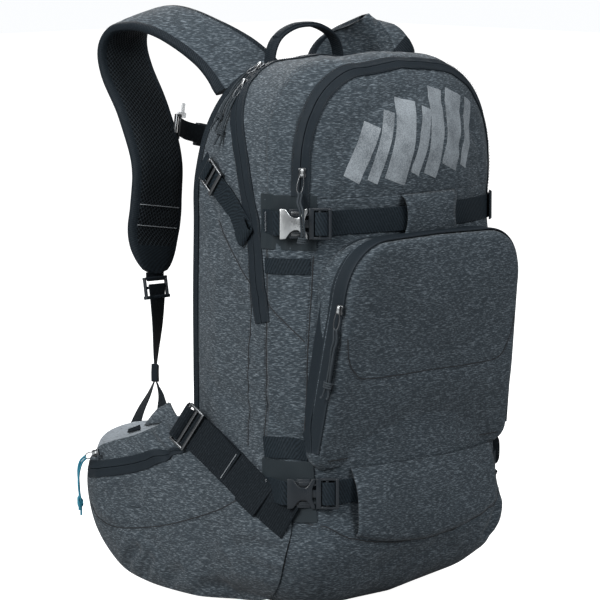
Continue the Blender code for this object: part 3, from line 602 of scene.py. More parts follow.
def joined(name, parts, body, finish, replaced=()):
    dg = bpy.context.evaluated_depsgraph_get()
    dg.update()
    bm = bmesh.new()
    used = []
    for part in parts:
        mesh = bpy.data.meshes.new_from_object(part.evaluated_get(dg))
        mesh.transform(part.matrix_world)
        shift = {}
        for i, mat in enumerate(mesh.materials):
            if mat not in used:
                used.append(mat)
            shift[i] = used.index(mat)
        start = len(bm.faces)
        bm.from_mesh(mesh)
        bm.faces.ensure_lookup_table()
        for face in bm.faces[start:]:
            face.material_index = shift.get(face.material_index, 0)
    mesh = bpy.data.meshes.new(name)
    bm.to_mesh(mesh)
    bm.free()
    for mat in used:
        mesh.materials.append(mat)
    for part in parts:
        bpy.data.objects.remove(part)
    mesh.shade_smooth()
    mesh.set_sharp_from_angle(angle=math.radians(40))
    obj = bpy.data.objects.new(name, mesh)
    scene.collection.objects.link(obj)
    return settle(obj, body, finish, replaced)

# ---- the bag's skin: rings round the bag from the open back rim to the middle of the front

bag = {
    "stations": ((0.085, 0.134, 0.55, 0.115, 0.145), (0.04, 0.147, 0.561, 0.105, 0.125),
                 (-0.035, 0.15, 0.566, 0.09, 0.1)),  # y, half width, top, corner width, corner height
    "edge": ((-0.035, 0.0), (-0.0475, 0.0012), (-0.058, 0.004), (-0.0665, 0.008), (-0.0731, 0.0122),
             (-0.08, 0.018), (-0.086, 0.0258), (-0.0905, 0.034), (-0.0935, 0.043)),  # y, inset
    "baseRadius": 0.05, "lowInset": 0.42, "spine": (0.14, 0.455), "bulge": 0.019,
    "half": 190, "depthRows": 26, "edgeRows": 26, "frontRows": 40, "thick": 0.0024,
    "flapInset": 0.0122, "flapFoot": 0.428,
}


def station(y):
    rows = bag["stations"]
    y = max(min(y, rows[0][0]), rows[-1][0])
    for (y0, *first), (y1, *second) in zip(rows, rows[1:]):
        if y1 <= y <= y0:
            t = (y0 - y) / (y0 - y1)
            return [p + (q - p) * t for p, q in zip(first, second)]
    return list(rows[-1][1:])


def halfOutline(y, inset, count):
    # right half from the middle of the base up to the middle of the top
    halfWide, top, cornerWide, cornerHigh = station(y)
    lowHalf, halfWide, top = halfWide - bag["lowInset"] * inset, halfWide - inset, top - inset
    r, foot = bag["baseRadius"], inset * 0.8
    line = [Vector((0, foot))]
    line += [Vector((lowHalf - r + r * math.cos(a), foot + r + r * math.sin(a)))
             for a in np.linspace(-math.pi / 2, 0, 14)]
    for a in np.linspace(0, math.pi / 2, 30):
        c, s = math.cos(a) ** 0.92, math.sin(a) ** 0.92
        line.append(Vector((halfWide - cornerWide + cornerWide * c, top - cornerHigh + cornerHigh * s)))
    line.append(Vector((0, top + 0.004)))
    line = [p.to_3d() for p in line]
    return [(p.x, p.y) for p in evenly(line, count)]


def skinRing(y, inset, place, share=0.0):
    right = halfOutline(y, inset, bag["half"])
    low, high = bag["spine"]
    ring = [(x * (1 - share), z + (min(max(z, low), high) - z) * share) for x, z in right]
    ring = ring + [(-x, z) for x, z in ring[-2:0:-1]]
    return [(x, place, z) for x, z in ring]


def skinRows():
    rows, marks = [], {}
    split, back = bag["edge"][0][0], bag["stations"][0][0]
    for i in range(bag["depthRows"]):
        y = back + (split - back) * i / bag["depthRows"]
        rows.append(skinRing(y, 0.0, y))
    marks["split"] = len(rows)
    line = smoothPath([(inset, y, 0) for y, inset in bag["edge"]], bag["edgeRows"] + 1)
    best = min(range(len(line)), key=lambda i: abs(line[i].x - bag["flapInset"]))
    for i, p in enumerate(line):
        if i == best:
            marks["flap"] = len(rows)
        rows.append(skinRing(split, p.x, p.y))
    marks["front"] = len(rows) - 1
    lastY, lastInset = line[-1].y, line[-1].x
    for i in range(1, bag["frontRows"]):
        t = i / (bag["frontRows"] - 1)
        rows.append(skinRing(split, lastInset, lastY - bag["bulge"] * (1 - (1 - t) ** 2.2), t * 0.995))
    return np.array(rows, float), marks


def nearLine(points, line):
    # distance of each point to a polyline
    best = np.full(len(points), 1e9)
    for a, b in zip(line, line[1:]):
        a, b = np.array(a, float), np.array(b, float)
        d = b - a
        t = np.clip(((points - a) @ d) / max(d @ d, 1e-12), 0, 1)
        best = np.minimum(best, np.linalg.norm(points - (a + t[:, None] * d), axis=1))
    return best


def noiseField(points, scale, seed, octaves=3):
    shift = Vector((seed * 3.1, seed * 1.7, seed * 0.9))
    return np.array([noise.fractal(Vector(p) * scale + shift, 0.9, 2.1, octaves) for p in points])


seams = {  # seams sewn into the shell, in metres; each mirrored on the other side
    "sideRear": ((-0.151, -0.0085, 0.42), (-0.152, -0.012, 0.31), (-0.152, -0.0085, 0.25), (-0.151, -0.005, 0.17)),
    "sideFront": ((-0.151, -0.035, 0.42), (-0.151, -0.035, 0.3), (-0.151, -0.033, 0.2), (-0.15, -0.03, 0.12)),
    "sideSlant": ((-0.148, 0.048, 0.398), (-0.151, -0.0096, 0.34), (-0.151, -0.036, 0.32), (-0.14, -0.078, 0.284)),
    "lowFront": ((-0.14, -0.06, 0.108), (-0.133, -0.072, 0.103), (-0.115, -0.094, 0.086), (-0.05, -0.1065, 0.071),
                 (0.0, -0.108, 0.068)),
    "corner": ((-0.133, -0.085, 0.37), (-0.138, -0.0825, 0.3), (-0.141, -0.081, 0.23), (-0.142, -0.079, 0.165)),
}
dents = (  # soft hollows and swells: place, reach along x y z, depth
    ((-0.15, 0.04, 0.4), (0.06, 0.035, 0.05), -0.006),
    ((-0.15, 0.03, 0.3), (0.06, 0.05, 0.09), 0.0035),
    ((-0.152, 0.02, 0.215), (0.06, 0.04, 0.04), -0.0022),
    ((-0.146, -0.055, 0.48), (0.05, 0.03, 0.05), 0.003),
    ((0.0, -0.11, 0.405), (0.16, 0.05, 0.016), -0.0035),
    ((0.0, -0.11, 0.48), (0.1, 0.05, 0.05), 0.0035),
    ((-0.15, -0.05, 0.404), (0.03, 0.06, 0.013), -0.002),
    ((0.15, 0.04, 0.4), (0.06, 0.035, 0.05), -0.004),
    ((0.15, 0.02, 0.26), (0.06, 0.05, 0.08), 0.003),
    ((0.0, -0.09, 0.075), (0.14, 0.06, 0.03), 0.006),
    ((-0.12, -0.085, 0.06), (0.05, 0.05, 0.04), 0.005),
    ((0.12, -0.085, 0.06), (0.05, 0.05, 0.04), 0.005),
    ((0.0, 0.02, 0.57), (0.07, 0.04, 0.03), -0.004),
)
folds = (  # creases: line of the crease, width, depth
    (((-0.152, 0.03, 0.34), (-0.152, 0.01, 0.322), (-0.152, -0.006, 0.315)), 0.007, -0.0016),
    (((-0.152, 0.02, 0.29), (-0.152, 0.004, 0.268), (-0.152, -0.006, 0.262)), 0.008, -0.0016),
    (((-0.152, 0.06, 0.235), (-0.152, 0.03, 0.215), (-0.152, 0.0, 0.206)), 0.01, -0.002),
    (((-0.152, -0.012, 0.285), (-0.152, -0.022, 0.272), (-0.152, -0.03, 0.268)), 0.005, -0.0015),
    (((-0.152, -0.01, 0.256), (-0.152, -0.022, 0.245), (-0.152, -0.032, 0.242)), 0.005, -0.0015),
    (((-0.152, -0.01, 0.232), (-0.152, -0.024, 0.219), (-0.152, -0.033, 0.216)), 0.005, -0.0012),
    (((-0.152, -0.036, 0.215), (-0.15, -0.052, 0.196), (-0.145, -0.072, 0.184)), 0.009, -0.002),
    (((-0.15, -0.042, 0.18), (-0.146, -0.062, 0.176), (-0.141, -0.078, 0.166)), 0.006, -0.0014),
    (((-0.12, -0.098, 0.445), (-0.08, -0.108, 0.434), (-0.05, -0.112, 0.428)), 0.006, -0.0016),
    (((-0.112, -0.1, 0.462), (-0.095, -0.106, 0.446), (-0.088, -0.108, 0.43)), 0.005, -0.0016),
    (((0.05, -0.112, 0.48), (0.075, -0.108, 0.458), (0.11, -0.098, 0.44)), 0.008, -0.0022),
    (((0.06, -0.112, 0.455), (0.09, -0.106, 0.436), (0.115, -0.096, 0.43)), 0.007, -0.0018),
    (((-0.06, -0.11, 0.04), (-0.02, -0.112, 0.055), (0.04, -0.11, 0.05)), 0.012, -0.002),
    (((0.11, -0.095, 0.05), (0.12, -0.09, 0.085), (0.135, -0.07, 0.11)), 0.007, -0.003),
    (((0.125, -0.085, 0.04), (0.135, -0.075, 0.075), (0.145, -0.05, 0.095)), 0.007, -0.0028),
    (((-0.146, 0.07, 0.43), (-0.15, 0.05, 0.4), (-0.15, 0.04, 0.36)), 0.01, -0.0024),
)


def gridNormals(rows):
    along = np.roll(rows, -1, 1) - np.roll(rows, 1, 1)
    down = np.gradient(rows, axis=0)
    n = np.cross(down, along)
    n /= np.maximum(np.linalg.norm(n, axis=2, keepdims=True), 1e-9)
    middle = np.array([0.0, 0.0, 0.3])
    if np.mean(np.sum(n * (rows - middle), axis=2)) < 0:
        n = -n
    n[-3:] = (0, -1, 0)
    return n


def shapeSkin(rows):
    normals = gridNormals(rows)
    flat, n = rows.reshape(-1, 3), normals.reshape(-1, 3)
    move = np.zeros(len(flat))
    for place, reach, depth in dents:
        q = (flat - np.array(place)) / np.array(reach)
        move += depth * np.exp(-np.sum(q * q, axis=1))
    for line, width, depth in folds:
        d = nearLine(flat, line)
        move += depth * np.exp(-((d / width) ** 2)) - 0.4 * depth * np.exp(-(((d - 1.7 * width) / width) ** 2))
    for line in seams.values():
        for sign in (1, -1):
            d = nearLine(flat, [(x * sign, y, z) for x, y, z in line])
            move += -0.0016 * np.exp(-((d / 0.003) ** 2)) + 0.0008 * np.exp(-((d / 0.014) ** 2))
    # the base stays flat, and the back rim keeps its line
    calm = np.clip((flat[:, 2] - 0.004) / 0.03, 0, 1) * np.clip((0.085 - flat[:, 1]) / 0.02, 0, 1)
    move += calm * (0.0018 * noiseField(flat, 14, 1) + 0.0007 * noiseField(flat * np.array((1.6, 1.6, 0.8)), 42, 2))
    move = np.where(flat[:, 2] < 0.004, np.minimum(move, 0.0), move)
    moved = (flat + n * move[:, None]).reshape(rows.shape)
    moved[:, :, 2] = np.maximum(moved[:, :, 2], 0.0)
    return moved


rows, marks = skinRows()
skin = shapeSkin(rows)
# the front right corner of the base is drawn up
toRight, toFront = np.clip(skin[..., 0] / 0.12, 0, 1), np.clip(-skin[..., 1] / 0.08, 0, 1)
skin[..., 2] += 0.02 * toRight * toFront * np.clip(1 - skin[..., 2] / 0.11, 0, 1) ** 1.5
print("skin shaped:", skin.shape)


def skinMesh(name, first, last):
    part = skin[first:last + 1]
    count, wide = part.shape[:2]
    faces = []
    for i in range(count - 1):
        for j in range(wide):
            k = (j + 1) % wide
            faces.append((i * wide + j, i * wide + k, (i + 1) * wide + k, (i + 1) * wide + j))
    if last == len(skin) - 1:
        faces.append(tuple(range((count - 1) * wide, count * wide)))
    return meshPiece(name, part.reshape(-1, 3), faces, None, "shellCloth")


def wholeTree():
    whole = skinMesh("wholeSkin", 0, len(skin) - 1)
    fixNormals(whole)
    tree = BVHTree.FromPolygons([v.co for v in whole.data.vertices],
                                [tuple(p.vertices) for p in whole.data.polygons])
    bpy.data.objects.remove(whole)
    return tree


skinTree = wholeTree()
core = Vector((0.0, -0.01, 0.3))


def onSkin(point, lift=0.0, tree=None):
    # the nearest place on the shell, stood off along its normal
    place, normal = (tree or skinTree).find_nearest(Vector(point))[:2]
    if normal.dot(place - Vector((0, place.y * 0.6, min(max(place.z, 0.1), 0.48)))) < 0:
        normal = -normal
    return place + normal * lift, normal


def laid(name, points, width, body, finish, thick=0.0015, lift=0.0002, count=40, replaced=(), rows=4, widths=None,
         profile=None, tree=None, cover=None):
    # a strip that lies on the shell and follows it across its width as well
    path = [onSkin(p, 0, tree)[0] for p in smoothPath(points, count)]
    path = smoothPath(path[::2] + [path[-1]] if count % 2 == 0 else path[::2], count)
    profile = profile or [(j / rows - 0.5, 0.0) for j in range(rows + 1)]
    rings = []
    for i, point in enumerate(path):
        along = heading(path, i)
        normal = onSkin(point, 0, tree)[1]
        side = along.cross(normal).normalized()
        wide = widths[i] if widths else width
        top, low = [], []
        for share, rise in profile:
            u = share * wide
            place, facing = onSkin(point + side * u, 0, tree)
            place = place.lerp(point + side * u, 0.5 if cover is None else cover)
            facing = (facing + normal).normalized()
            top.append(place + facing * (lift + thick + rise))
            low.append(place + facing * lift)
        rings.append(top + low[::-1])
    obj = gridPiece(name, rings, None, finish, closedRows=True, uvScale=1, caps=True, sharp=50)
    addBevel(obj, min(thick * 0.35, 0.0006), 2, 50)
    return settle(obj, body, finish, replaced)


def thicken(obj, thick, offset=-1.0):
    mod = obj.modifiers.new("cloth", "SOLIDIFY")
    mod.thickness, mod.offset = thick, offset
    return mod


def solidify(obj, thick, finish):
    # cloth with its own lining on the inside
    obj.data.materials.append(finishes[finish])
    mod = thicken(obj, thick)
    mod.use_rim, mod.material_offset, mod.material_offset_rim = True, 1, 0


def makeShells():
    wide = skin.shape[1]
    mainShell = skinMesh("mainShell", 0, marks["split"])
    frontShell = skinMesh("frontShell", marks["split"], len(skin) - 1)
    bm = bmesh.new()
    bm.from_mesh(frontShell.data)
    ring = bm.faces.layers.int.new("ring")
    bm.faces.ensure_lookup_table()
    for i, face in enumerate(bm.faces):
        face[ring] = marks["split"] + i // wide
    bmesh.ops.bisect_plane(bm, geom=bm.verts[:] + bm.edges[:] + bm.faces[:], plane_co=(0, 0, bag["flapFoot"]),
                           plane_no=(0, 0, 1))
    flapBm = bm.copy()
    isFlap = [f.calc_center_median().z > bag["flapFoot"] and f[ring] >= marks["flap"] for f in bm.faces]
    bmesh.ops.delete(bm, geom=[f for f, flap in zip(bm.faces[:], isFlap) if flap], context="FACES")
    bm.to_mesh(frontShell.data)
    flapBm.faces.ensure_lookup_table()
    bmesh.ops.delete(flapBm, geom=[f for f, flap in zip(flapBm.faces[:], isFlap) if not flap], context="FACES")
    mesh = bpy.data.meshes.new("flapShell")
    flapBm.to_mesh(mesh)
    mesh.materials.append(finishes["shellCloth"])
    flapShell = bpy.data.objects.new("flapShell", mesh)
    scene.collection.objects.link(flapShell)
    bm.free()
    flapBm.free()
    for obj, body, node in ((mainShell, "bag", "main_bag"), (frontShell, "bag", "front_compartment"),
                            (flapShell, "flap", "front_flap")):
        fixNormals(obj)
        sample = obj.data.polygons[len(obj.data.polygons) // 2]
        if sample.normal.dot(sample.center - core) < 0:
            obj.data.flip_normals()
        obj.data.shade_smooth()
        obj.data.materials.clear()
        finish = "sideCloth" if node == "main_bag" else "shellCloth"
        obj.data.materials.append(finishes[finish])
        solidify(obj, bag["thick"], "lining")
        placePiece(obj, body, finish, (node,))


def innerWall():
    # the wall between the two compartments, a little behind their seam
    rows = []
    split = bag["edge"][0][0] - 0.002
    for t in np.linspace(0.0, 0.99, 14):
        rows.append([(x * 0.985, split + 0.0015 * math.sin(9 * z + 20 * x), 0.006 + z * 0.985)
                     for x, _, z in skinRing(split, 0.004, split, t)[::3]])
    obj = gridPiece("dividerWall", [[Vector(p) for p in row] for row in rows], None, "lining", closedRows=True,
                    sharp=180)
    fixNormals(obj)
    thicken(obj, 0.0012)
    placePiece(obj, "bag", "lining")


makeShells()
innerWall()
print("shells made")


def seamLine(name, points, body="bag", count=60, tree=None, both=True, width=0.0011):
    # a sewn seam: a dark thread line sunk in its groove, with a row of stitches beside it
    for mark, sign in hands if both else (("", 1),):
        route = mirrored(points, sign)
        laid(name + mark, route, width, body, "seamThread", 0.0004, 0.0001, count, rows=2, tree=tree)
        stitches(name + mark + "Stitch", route, body, tree=tree)


def stitches(name, points, body, pitch=0.0032, size=(0.002, 0.0006), finish="seamThread", shift=0.0022, lift=0.0,
             tree=None):
    # short threads laid end to end, a little to one side of the given line
    path = smoothPath([onSkin(p, 0, tree)[0] for p in smoothPath(points, 40)], 200)
    count = max(int(pathLength(path) / pitch), 2)
    path = evenly(path, count)
    parts, faces = [], []
    for i, point in enumerate(path[:-1]):
        along = (path[i + 1] - point).normalized()
        place, normal = onSkin(point, 0, tree)
        side = along.cross(normal).normalized()
        middle = place + side * shift + normal * (0.0003 + lift)
        a, b, c = along * size[0] / 2, side * size[1] / 2, normal * 0.00035
        start = len(parts)
        parts += [middle - a - b * 0.3, middle - a * 0.6 + b - c * 0.2, middle + a * 0.6 + b - c * 0.2,
                  middle + a + b * 0.3, middle + a * 0.6 - b - c * 0.2, middle - a * 0.6 - b - c * 0.2,
                  middle + c]
        faces += [(start + k, start + (k + 1) % 6, start + 6) for k in range(6)]
    return meshPiece(name, parts, faces, body, finish)


for label, line in seams.items():
    seamLine(label + "Seam", line)
print("seams sewn")

# ---- zips: coated tapes with a slit between their lips

tapeLook = {"main": 0.021, "flap": 0.0195, "thick": 0.0011, "lip": 0.0011, "slit": -0.0005}


def tapeProfile(side=0):
    whole = [(-0.5, 0.0), (-0.46, 0.0003), (-0.3, 0.0004), (-0.12, 0.0006), (-0.055, tapeLook["lip"]),
             (-0.022, tapeLook["lip"] * 0.8), (-0.01, tapeLook["slit"]), (0.0, tapeLook["slit"])]
    other = [(-u, rise) for u, rise in whole[::-1]]
    if side < 0:
        return whole
    return other if side > 0 else whole + other[1:]


def mainZipPath():
    sides = ((-0.03, 0.3), (-0.023, 0.335), (-0.017, 0.385), (-0.006, 0.425))
    corner = ((0.008, 14), (0.024, 33), (0.038, 50), (0.045, 66), (0.048, 80), (0.048, 90))
    left = [(-station(y)[0], y, z) for y, z in sides]
    for y, angle in corner:
        halfWide, top, cornerWide, cornerHigh = station(y)
        a = math.radians(angle)
        left.append((cornerWide - halfWide - cornerWide * math.cos(a), y,
                     top - cornerHigh + cornerHigh * math.sin(a)))
    return left + [(-x, y, z) for x, y, z in left[-2::-1]]


def makeMainZip():
    path = mainZipPath()
    laid("mainZipTape", path, tapeLook["main"], "bag", "zipTape", tapeLook["thick"], 0.0003, 110,
         ("main_zip",), profile=tapeProfile(), cover=0.2)
    for mark, shift in (("Inner", -0.0092), ("Outer", 0.0092)):
        stitches("mainZip" + mark + "Stitch", path, "bag", shift=shift, lift=0.0014)


def flapArch(foot):
    ring = [Vector(p) for p in skin[marks["flap"]]]
    return [p for p in ring if p.z > foot]


def makeFlapZip():
    long, short = flapArch(0.392), flapArch(bag["flapFoot"] + 0.001)
    half = tapeLook["flap"]
    laid("flapZipOuterTape", long[::4] + [long[-1]], half, "bag", "zipTape", tapeLook["thick"], 0.0003, 120,
         ("flap_zip",), profile=tapeProfile(-1), cover=0.2)
    laid("flapZipInnerTape", short[::4] + [short[-1]], half, "flap", "zipTape", tapeLook["thick"], 0.0003, 120,
         profile=tapeProfile(1), cover=0.2)
    stitches("flapZipOuterStitch", long[::6] + [long[-1]], "bag", shift=-0.0084, lift=0.0013)
    stitches("flapZipInnerStitch", short[::6] + [short[-1]], "flap", shift=0.0084, lift=0.0013)


makeMainZip()
makeFlapZip()
print("bag zips made")

# ---- the front pocket: walls, domed panel and its zip

pocket = {"topHalf": 0.128, "bottomHalf": 0.1405, "bottom": 0.155, "top": 0.385, "corner": 0.058, "foot": 0.016,
          "rimBottom": -0.0985, "rimTop": -0.134, "zipWide": 0.033, "crown": 0.0065}


def pocketOutline(inset, count):
    low, high = pocket["bottomHalf"] - inset, pocket["topHalf"] - inset
    foot, corner = pocket["foot"], pocket["corner"]
    line = [Vector((0, pocket["bottom"] + inset, 0))]
    line += [Vector((low - foot + foot * math.cos(a), pocket["bottom"] + inset + foot + foot * math.sin(a), 0))
             for a in np.linspace(-math.pi / 2, 0, 6)]
    line += [Vector((high - corner + corner * math.cos(a) ** 0.9,
                     pocket["top"] - inset - corner + corner * math.sin(a) ** 0.9, 0))
             for a in np.linspace(0, math.pi / 2, 20)]
    line.append(Vector((0, pocket["top"] - inset + 0.0015, 0)))
    right = [(p.x, p.y) for p in evenly(line, count)]
    return right + [(-x, z) for x, z in right[-2:0:-1]]


def rimY(z):
    share = (z - pocket["bottom"]) / (pocket["top"] - pocket["bottom"])
    return pocket["rimBottom"] + share * (pocket["rimTop"] - pocket["rimBottom"])


def frontY(x, z, tree=None):
    place = (tree or skinTree).ray_cast(Vector((x, -0.4, z)), rearward)[0]
    return place.y if place else -0.05


def footShare(z):
    # the panel lies flush at its sewn foot and swells above it
    return 0.1 + 0.9 * ease((z - pocket["bottom"]) / 0.09)


def makePocket():
    count = 110
    rim = pocketOutline(0.0, count)
    base = [Vector((x, frontY(x * 0.985, z) + 0.004, z)) for x, z in rim]
    rows = []
    for i in range(15):
        t = i / 14
        row = []
        for (x, z), foot in zip(rim, base):
            top = Vector((x, rimY(z), z))
            out = Vector((x * 0.9, 0, z - 0.27)).normalized()
            swell = 0.003 * math.sin(math.pi * min(t * 1.15, 1.0)) * (0.4 + 0.6 * ease(abs(x) / 0.1))
            crease = 0.0014 * noise.noise(Vector((x * 18, t * 3, z * 18))) * math.sin(math.pi * t)
            row.append(foot.lerp(top, t) + out * (swell + crease))
        rows.append(row)
    wall = gridPiece("pocketWall", rows, None, "shellCloth", closedRows=True)
    fixOutward(wall, Vector((0, -0.09, 0.27)))
    solidify(wall, 0.0018, "lining")
    placePiece(wall, "bag", "shellCloth", ("pocket_tray",))

    rows = []
    steps = [(0.0, -0.0004), (0.0006, -0.0026), (0.0024, -0.005), (0.0054, -0.0066), (0.01, -0.0078)]
    for inset, out in steps:
        rows.append([Vector((x, rimY(z) + out * footShare(z), z)) for x, z in pocketOutline(inset, count)])
    last = pocketOutline(steps[-1][0], count)
    for i in range(1, 30):
        t = i / 29 * 0.995
        row = []
        for x, z in last:
            px, pz = x * (1 - t), z + (min(max(z, 0.235), 0.305) - z) * t
            seamZ = 0.246 + 0.02 * ease((abs(px) - 0.095) / 0.03)
            groove = -0.0014 * math.exp(-(((pz - seamZ) / 0.0028) ** 2))
            swell = 0.0016 * noise.noise(Vector((px * 13 + 3, 0.4, pz * 13)))
            y = rimY(pz) + (steps[-1][1] - pocket["crown"] * (1 - (1 - t) ** 2)) * footShare(pz)
            y -= (groove + swell * min(t * 3, 1)) * footShare(pz)
            row.append(Vector((px, y, pz)))
        rows.append(row)
    panel = gridPiece("pocketPanel", rows, None, "shellCloth", closedRows=True)
    mesh = panel.data
    bm = bmesh.new()
    bm.from_mesh(mesh)
    bm.verts.ensure_lookup_table()
    wide = len(rows[0])
    bm.faces.new([bm.verts[i] for i in range(len(rows) * wide - wide, len(rows) * wide)])
    bm.to_mesh(mesh)
    bm.free()
    mesh.shade_smooth()
    fixOutward(panel, Vector((0, -0.1, 0.27)))
    solidify(panel, 0.002, "lining")
    placePiece(panel, "pocket", "shellCloth", ("pocket_panel",))
    return panel


def fixOutward(obj, middle):
    fixNormals(obj)
    total = sum(p.normal.dot(p.center - middle) * p.area for p in obj.data.polygons)
    if total < 0:
        obj.data.flip_normals()


def treeOf(obj):
    return BVHTree.FromPolygons([v.co.copy() for v in obj.data.vertices],
                                [tuple(p.vertices) for p in obj.data.polygons])


def makePocketZip():
    # the arch from one foot to the other, just behind the panel's edge
    ring = [p for p in pocketOutline(0.0, 110) if p[1] > 0.17]
    wide = pocket["zipWide"]
    curl = 0.003 * math.sin(math.pi * 0.86)
    for name, body, profile, replaced in (("pocketZipOuterTape", "bag", tapeProfile(-1), ("pocket_zip",)),
                                          ("pocketZipInnerTape", "pocket", tapeProfile(1), ())):
        rings = []
        for i, (x, z) in enumerate(ring):
            a, b = ring[max(i - 1, 0)], ring[min(i + 1, len(ring) - 1)]
            along = Vector((b[0] - a[0], 0, b[1] - a[1])).normalized()
            out = Vector((along.z, 0, -along.x))
            if out.dot(Vector((x, 0, z - 0.27))) < 0:
                out = -out
            low = ease((0.205 - z) / 0.035) * 0.45  # the tape narrows towards its foot
            reach = wide * (1 - low)
            middle = Vector((x, rimY(z) + reach / 2 + 0.0004, z))
            top, under = [], []
            for u, rise in profile:
                share = 0.5 - u
                bulge = curl * (1 - share) * 0.5
                place = middle + Vector((0, -u * reach, 0)) + out * (0.0008 + bulge)
                top.append(place + out * (0.0012 + rise))
                under.append(place)
            rings.append(top + under[::-1])
        gridPiece(name, rings, body, "zipTape", replaced, closedRows=True, uvScale=1, caps=True, sharp=50)


pocketPanel = makePocket()
pocketTree = treeOf(pocketPanel)
makePocketZip()


def onPanel(points):
    return [Vector((x, frontY(x, z, pocketTree), z)) for x, z in points]


seamLine("pocketPanelSeam", onPanel([(-0.126, 0.29), (-0.122, 0.268), (-0.11, 0.252), (-0.09, 0.246), (0.0, 0.246),
                                     (0.09, 0.246), (0.11, 0.252), (0.12, 0.268), (0.124, 0.29)]),
         "pocket", both=False, tree=pocketTree, count=90)
seamLine("pocketFootSeam", onPanel([(-0.128, 0.163), (-0.06, 0.1625), (0.0, 0.1625), (0.06, 0.1625),
                                    (0.128, 0.163)]),
         "pocket", both=False, tree=pocketTree, count=70)
print("pocket made")

# ---- straps over the front, with their patches, covers and buckles

straps = {
    "upper": {"z": 0.404, "along": -0.04, "out": 0.1525},
    "lower": {"z": 0.13, "along": -0.0325, "out": 0.1575},
}
diagonal = (Vector((1, -1, 0)).normalized(), Vector((0, 0, 1)), Vector((-1, -1, 0)).normalized())


def cornerPoint(along, out, z=0.0):
    return diagonal[2] * out + diagonal[0] * along + Vector((0, 0, z))


def buckle(prefix, metal):
    look = straps[prefix]
    origin = cornerPoint(look["along"], look["out"], look["z"])
    # socket: a dark body, a waisted frame over it and a bar for the tab
    outline = [(-0.0285, 0.0155), (-0.0225, 0.015), (-0.018, 0.0085), (-0.014, 0.0062), (-0.01, 0.0062),
               (-0.007, 0.009), (-0.004, 0.015), (-0.0005, 0.0158), (-0.0005, 0.0118), (-0.003, 0.006)]
    outline = outline + [(a, -b) for a, b in outline[::-1]]
    frame = plate(prefix + "Frame", origin, diagonal, outline, 0.0042, 0.0078, 0.0009, None,
                  "silver" if metal else "plastic")
    body = bars(prefix + "Core", origin, diagonal, [
        *rung(-0.025, -0.003, 0.0125, 0.0, 0.0046), *rails(-0.019, -0.005, 0.01, 0.0148, 0.0012, 0.0052),
        *rung(-0.0285, -0.0262, 0.015, 0.0008, 0.005)], 0.0007, None, "plastic")
    prongs = bars(prefix + "Prongs", origin, diagonal, [
        *rails(-0.017, -0.002, 0.0085, 0.0125, 0.004, 0.006)],
        0.0008, None, "darkMetal" if metal else "plastic")
    joined(prefix + "BuckleSocket", [frame, body, prongs], "bag", "silver" if metal else "plastic",
           (prefix + "_buckle_socket",))
    plug = bars(prefix + "Plug", origin, diagonal, [
        *rung(0.0006, 0.006, 0.0158, 0.001, 0.0066), *rails(0.004, 0.0235, 0.0132, 0.016, 0.0012, 0.0062),
        *rung(0.0105, 0.0135, 0.014, 0.0018, 0.0058), *rung(0.0205, 0.0238, 0.0158, 0.001, 0.0066)], 0.0009, None,
        "plastic")
    tongue = bars(prefix + "Tongue", origin, diagonal, [
        *rung(-0.017, 0.003, 0.004, 0.0044, 0.006), *rails(-0.0165, 0.002, 0.008, 0.0105, 0.0046, 0.006)],
                  0.0006, None, "plastic")
    joined(prefix + "BucklePlug", [plug, tongue], prefix + "_plug", "plastic", (prefix + "_buckle_plug",))


def bartack(name, points, body, tree=None, lift=0.0024, width=0.002):
    # a dense row of pale zigzag stitches across a strap
    path = smoothPath([onSkin(p, 0, tree)[0] for p in points], 18)
    zigzag = []
    for i, p in enumerate(path):
        along = heading(path, i)
        normal = onSkin(p, 0, tree)[1]
        zigzag.append(p + along.cross(normal).normalized() * (width / 2 if i % 2 else -width / 2) + normal * lift)
    return wire(name, zigzag, 0.0006, body, "paleThread", resolution=1)


def strapSet(prefix, metal):
    look = straps[prefix]
    z, along, out = look["z"], look["along"], look["out"]
    patchWide = 0.056 if prefix == "upper" else 0.062
    patch = [(-0.15, -0.028, z), (-0.148, -0.048, z), (-0.139, -0.07, z), (-0.128, -0.084, z)]
    laid(prefix + "Patch", patch, patchWide, "bag", "oliveTape", 0.0012, 0.0012, 24)
    laid(prefix + "PatchWeb", patch[:3], 0.0245, "bag", "webbing", 0.0012, 0.001, 24)
    tab = [Vector((-0.1515, -0.03, z)), Vector((-0.152, -0.04, z)), cornerPoint(along - 0.0345, out + 0.0012, z),
           cornerPoint(along - 0.029, out + 0.003, z), cornerPoint(along - 0.025, out + 0.003, z)]
    band(prefix + "Tab", smoothPath(tab, 16), upward, 0.0245, 0.0016, "bag", "webbing", (prefix + "_strap_tab",))
    bartack(prefix + "TabTack", [(-0.153, -0.037, z - 0.01), (-0.153, -0.037, z + 0.01)], "bag", lift=0.0046)
    buckle(prefix, metal)
    front = [cornerPoint(along + 0.004, out - 0.0014, z), cornerPoint(along + 0.02, out - 0.0012, z)]
    right = [(-0.096, -0.1, z), (-0.06, -0.11, z), (0.0, -0.12, z), (0.06, -0.11, z), (0.1, -0.1, z),
             (0.125, -0.088, z), (0.1385, -0.07, z), (0.147, -0.052, z), (0.151, -0.034, z)]
    front += [onSkin(p, 0.0022)[0] for p in right]
    band(prefix + "Webbing", smoothPath(front, 80), upward, 0.025, 0.0016, "bag", "webbing",
         (prefix + "_strap_webbing",))
    fold = [cornerPoint(along + 0.0215, out + 0.0022, z), cornerPoint(along + 0.018, out + 0.0066, z),
            cornerPoint(along + 0.0125, out + 0.0076, z), cornerPoint(along + 0.007, out + 0.0062, z)]
    band(prefix + "Fold", smoothPath(fold, 12), upward, 0.0235, 0.0014, prefix + "_plug", "webbing")


strapSet("upper", True)
strapSet("lower", False)


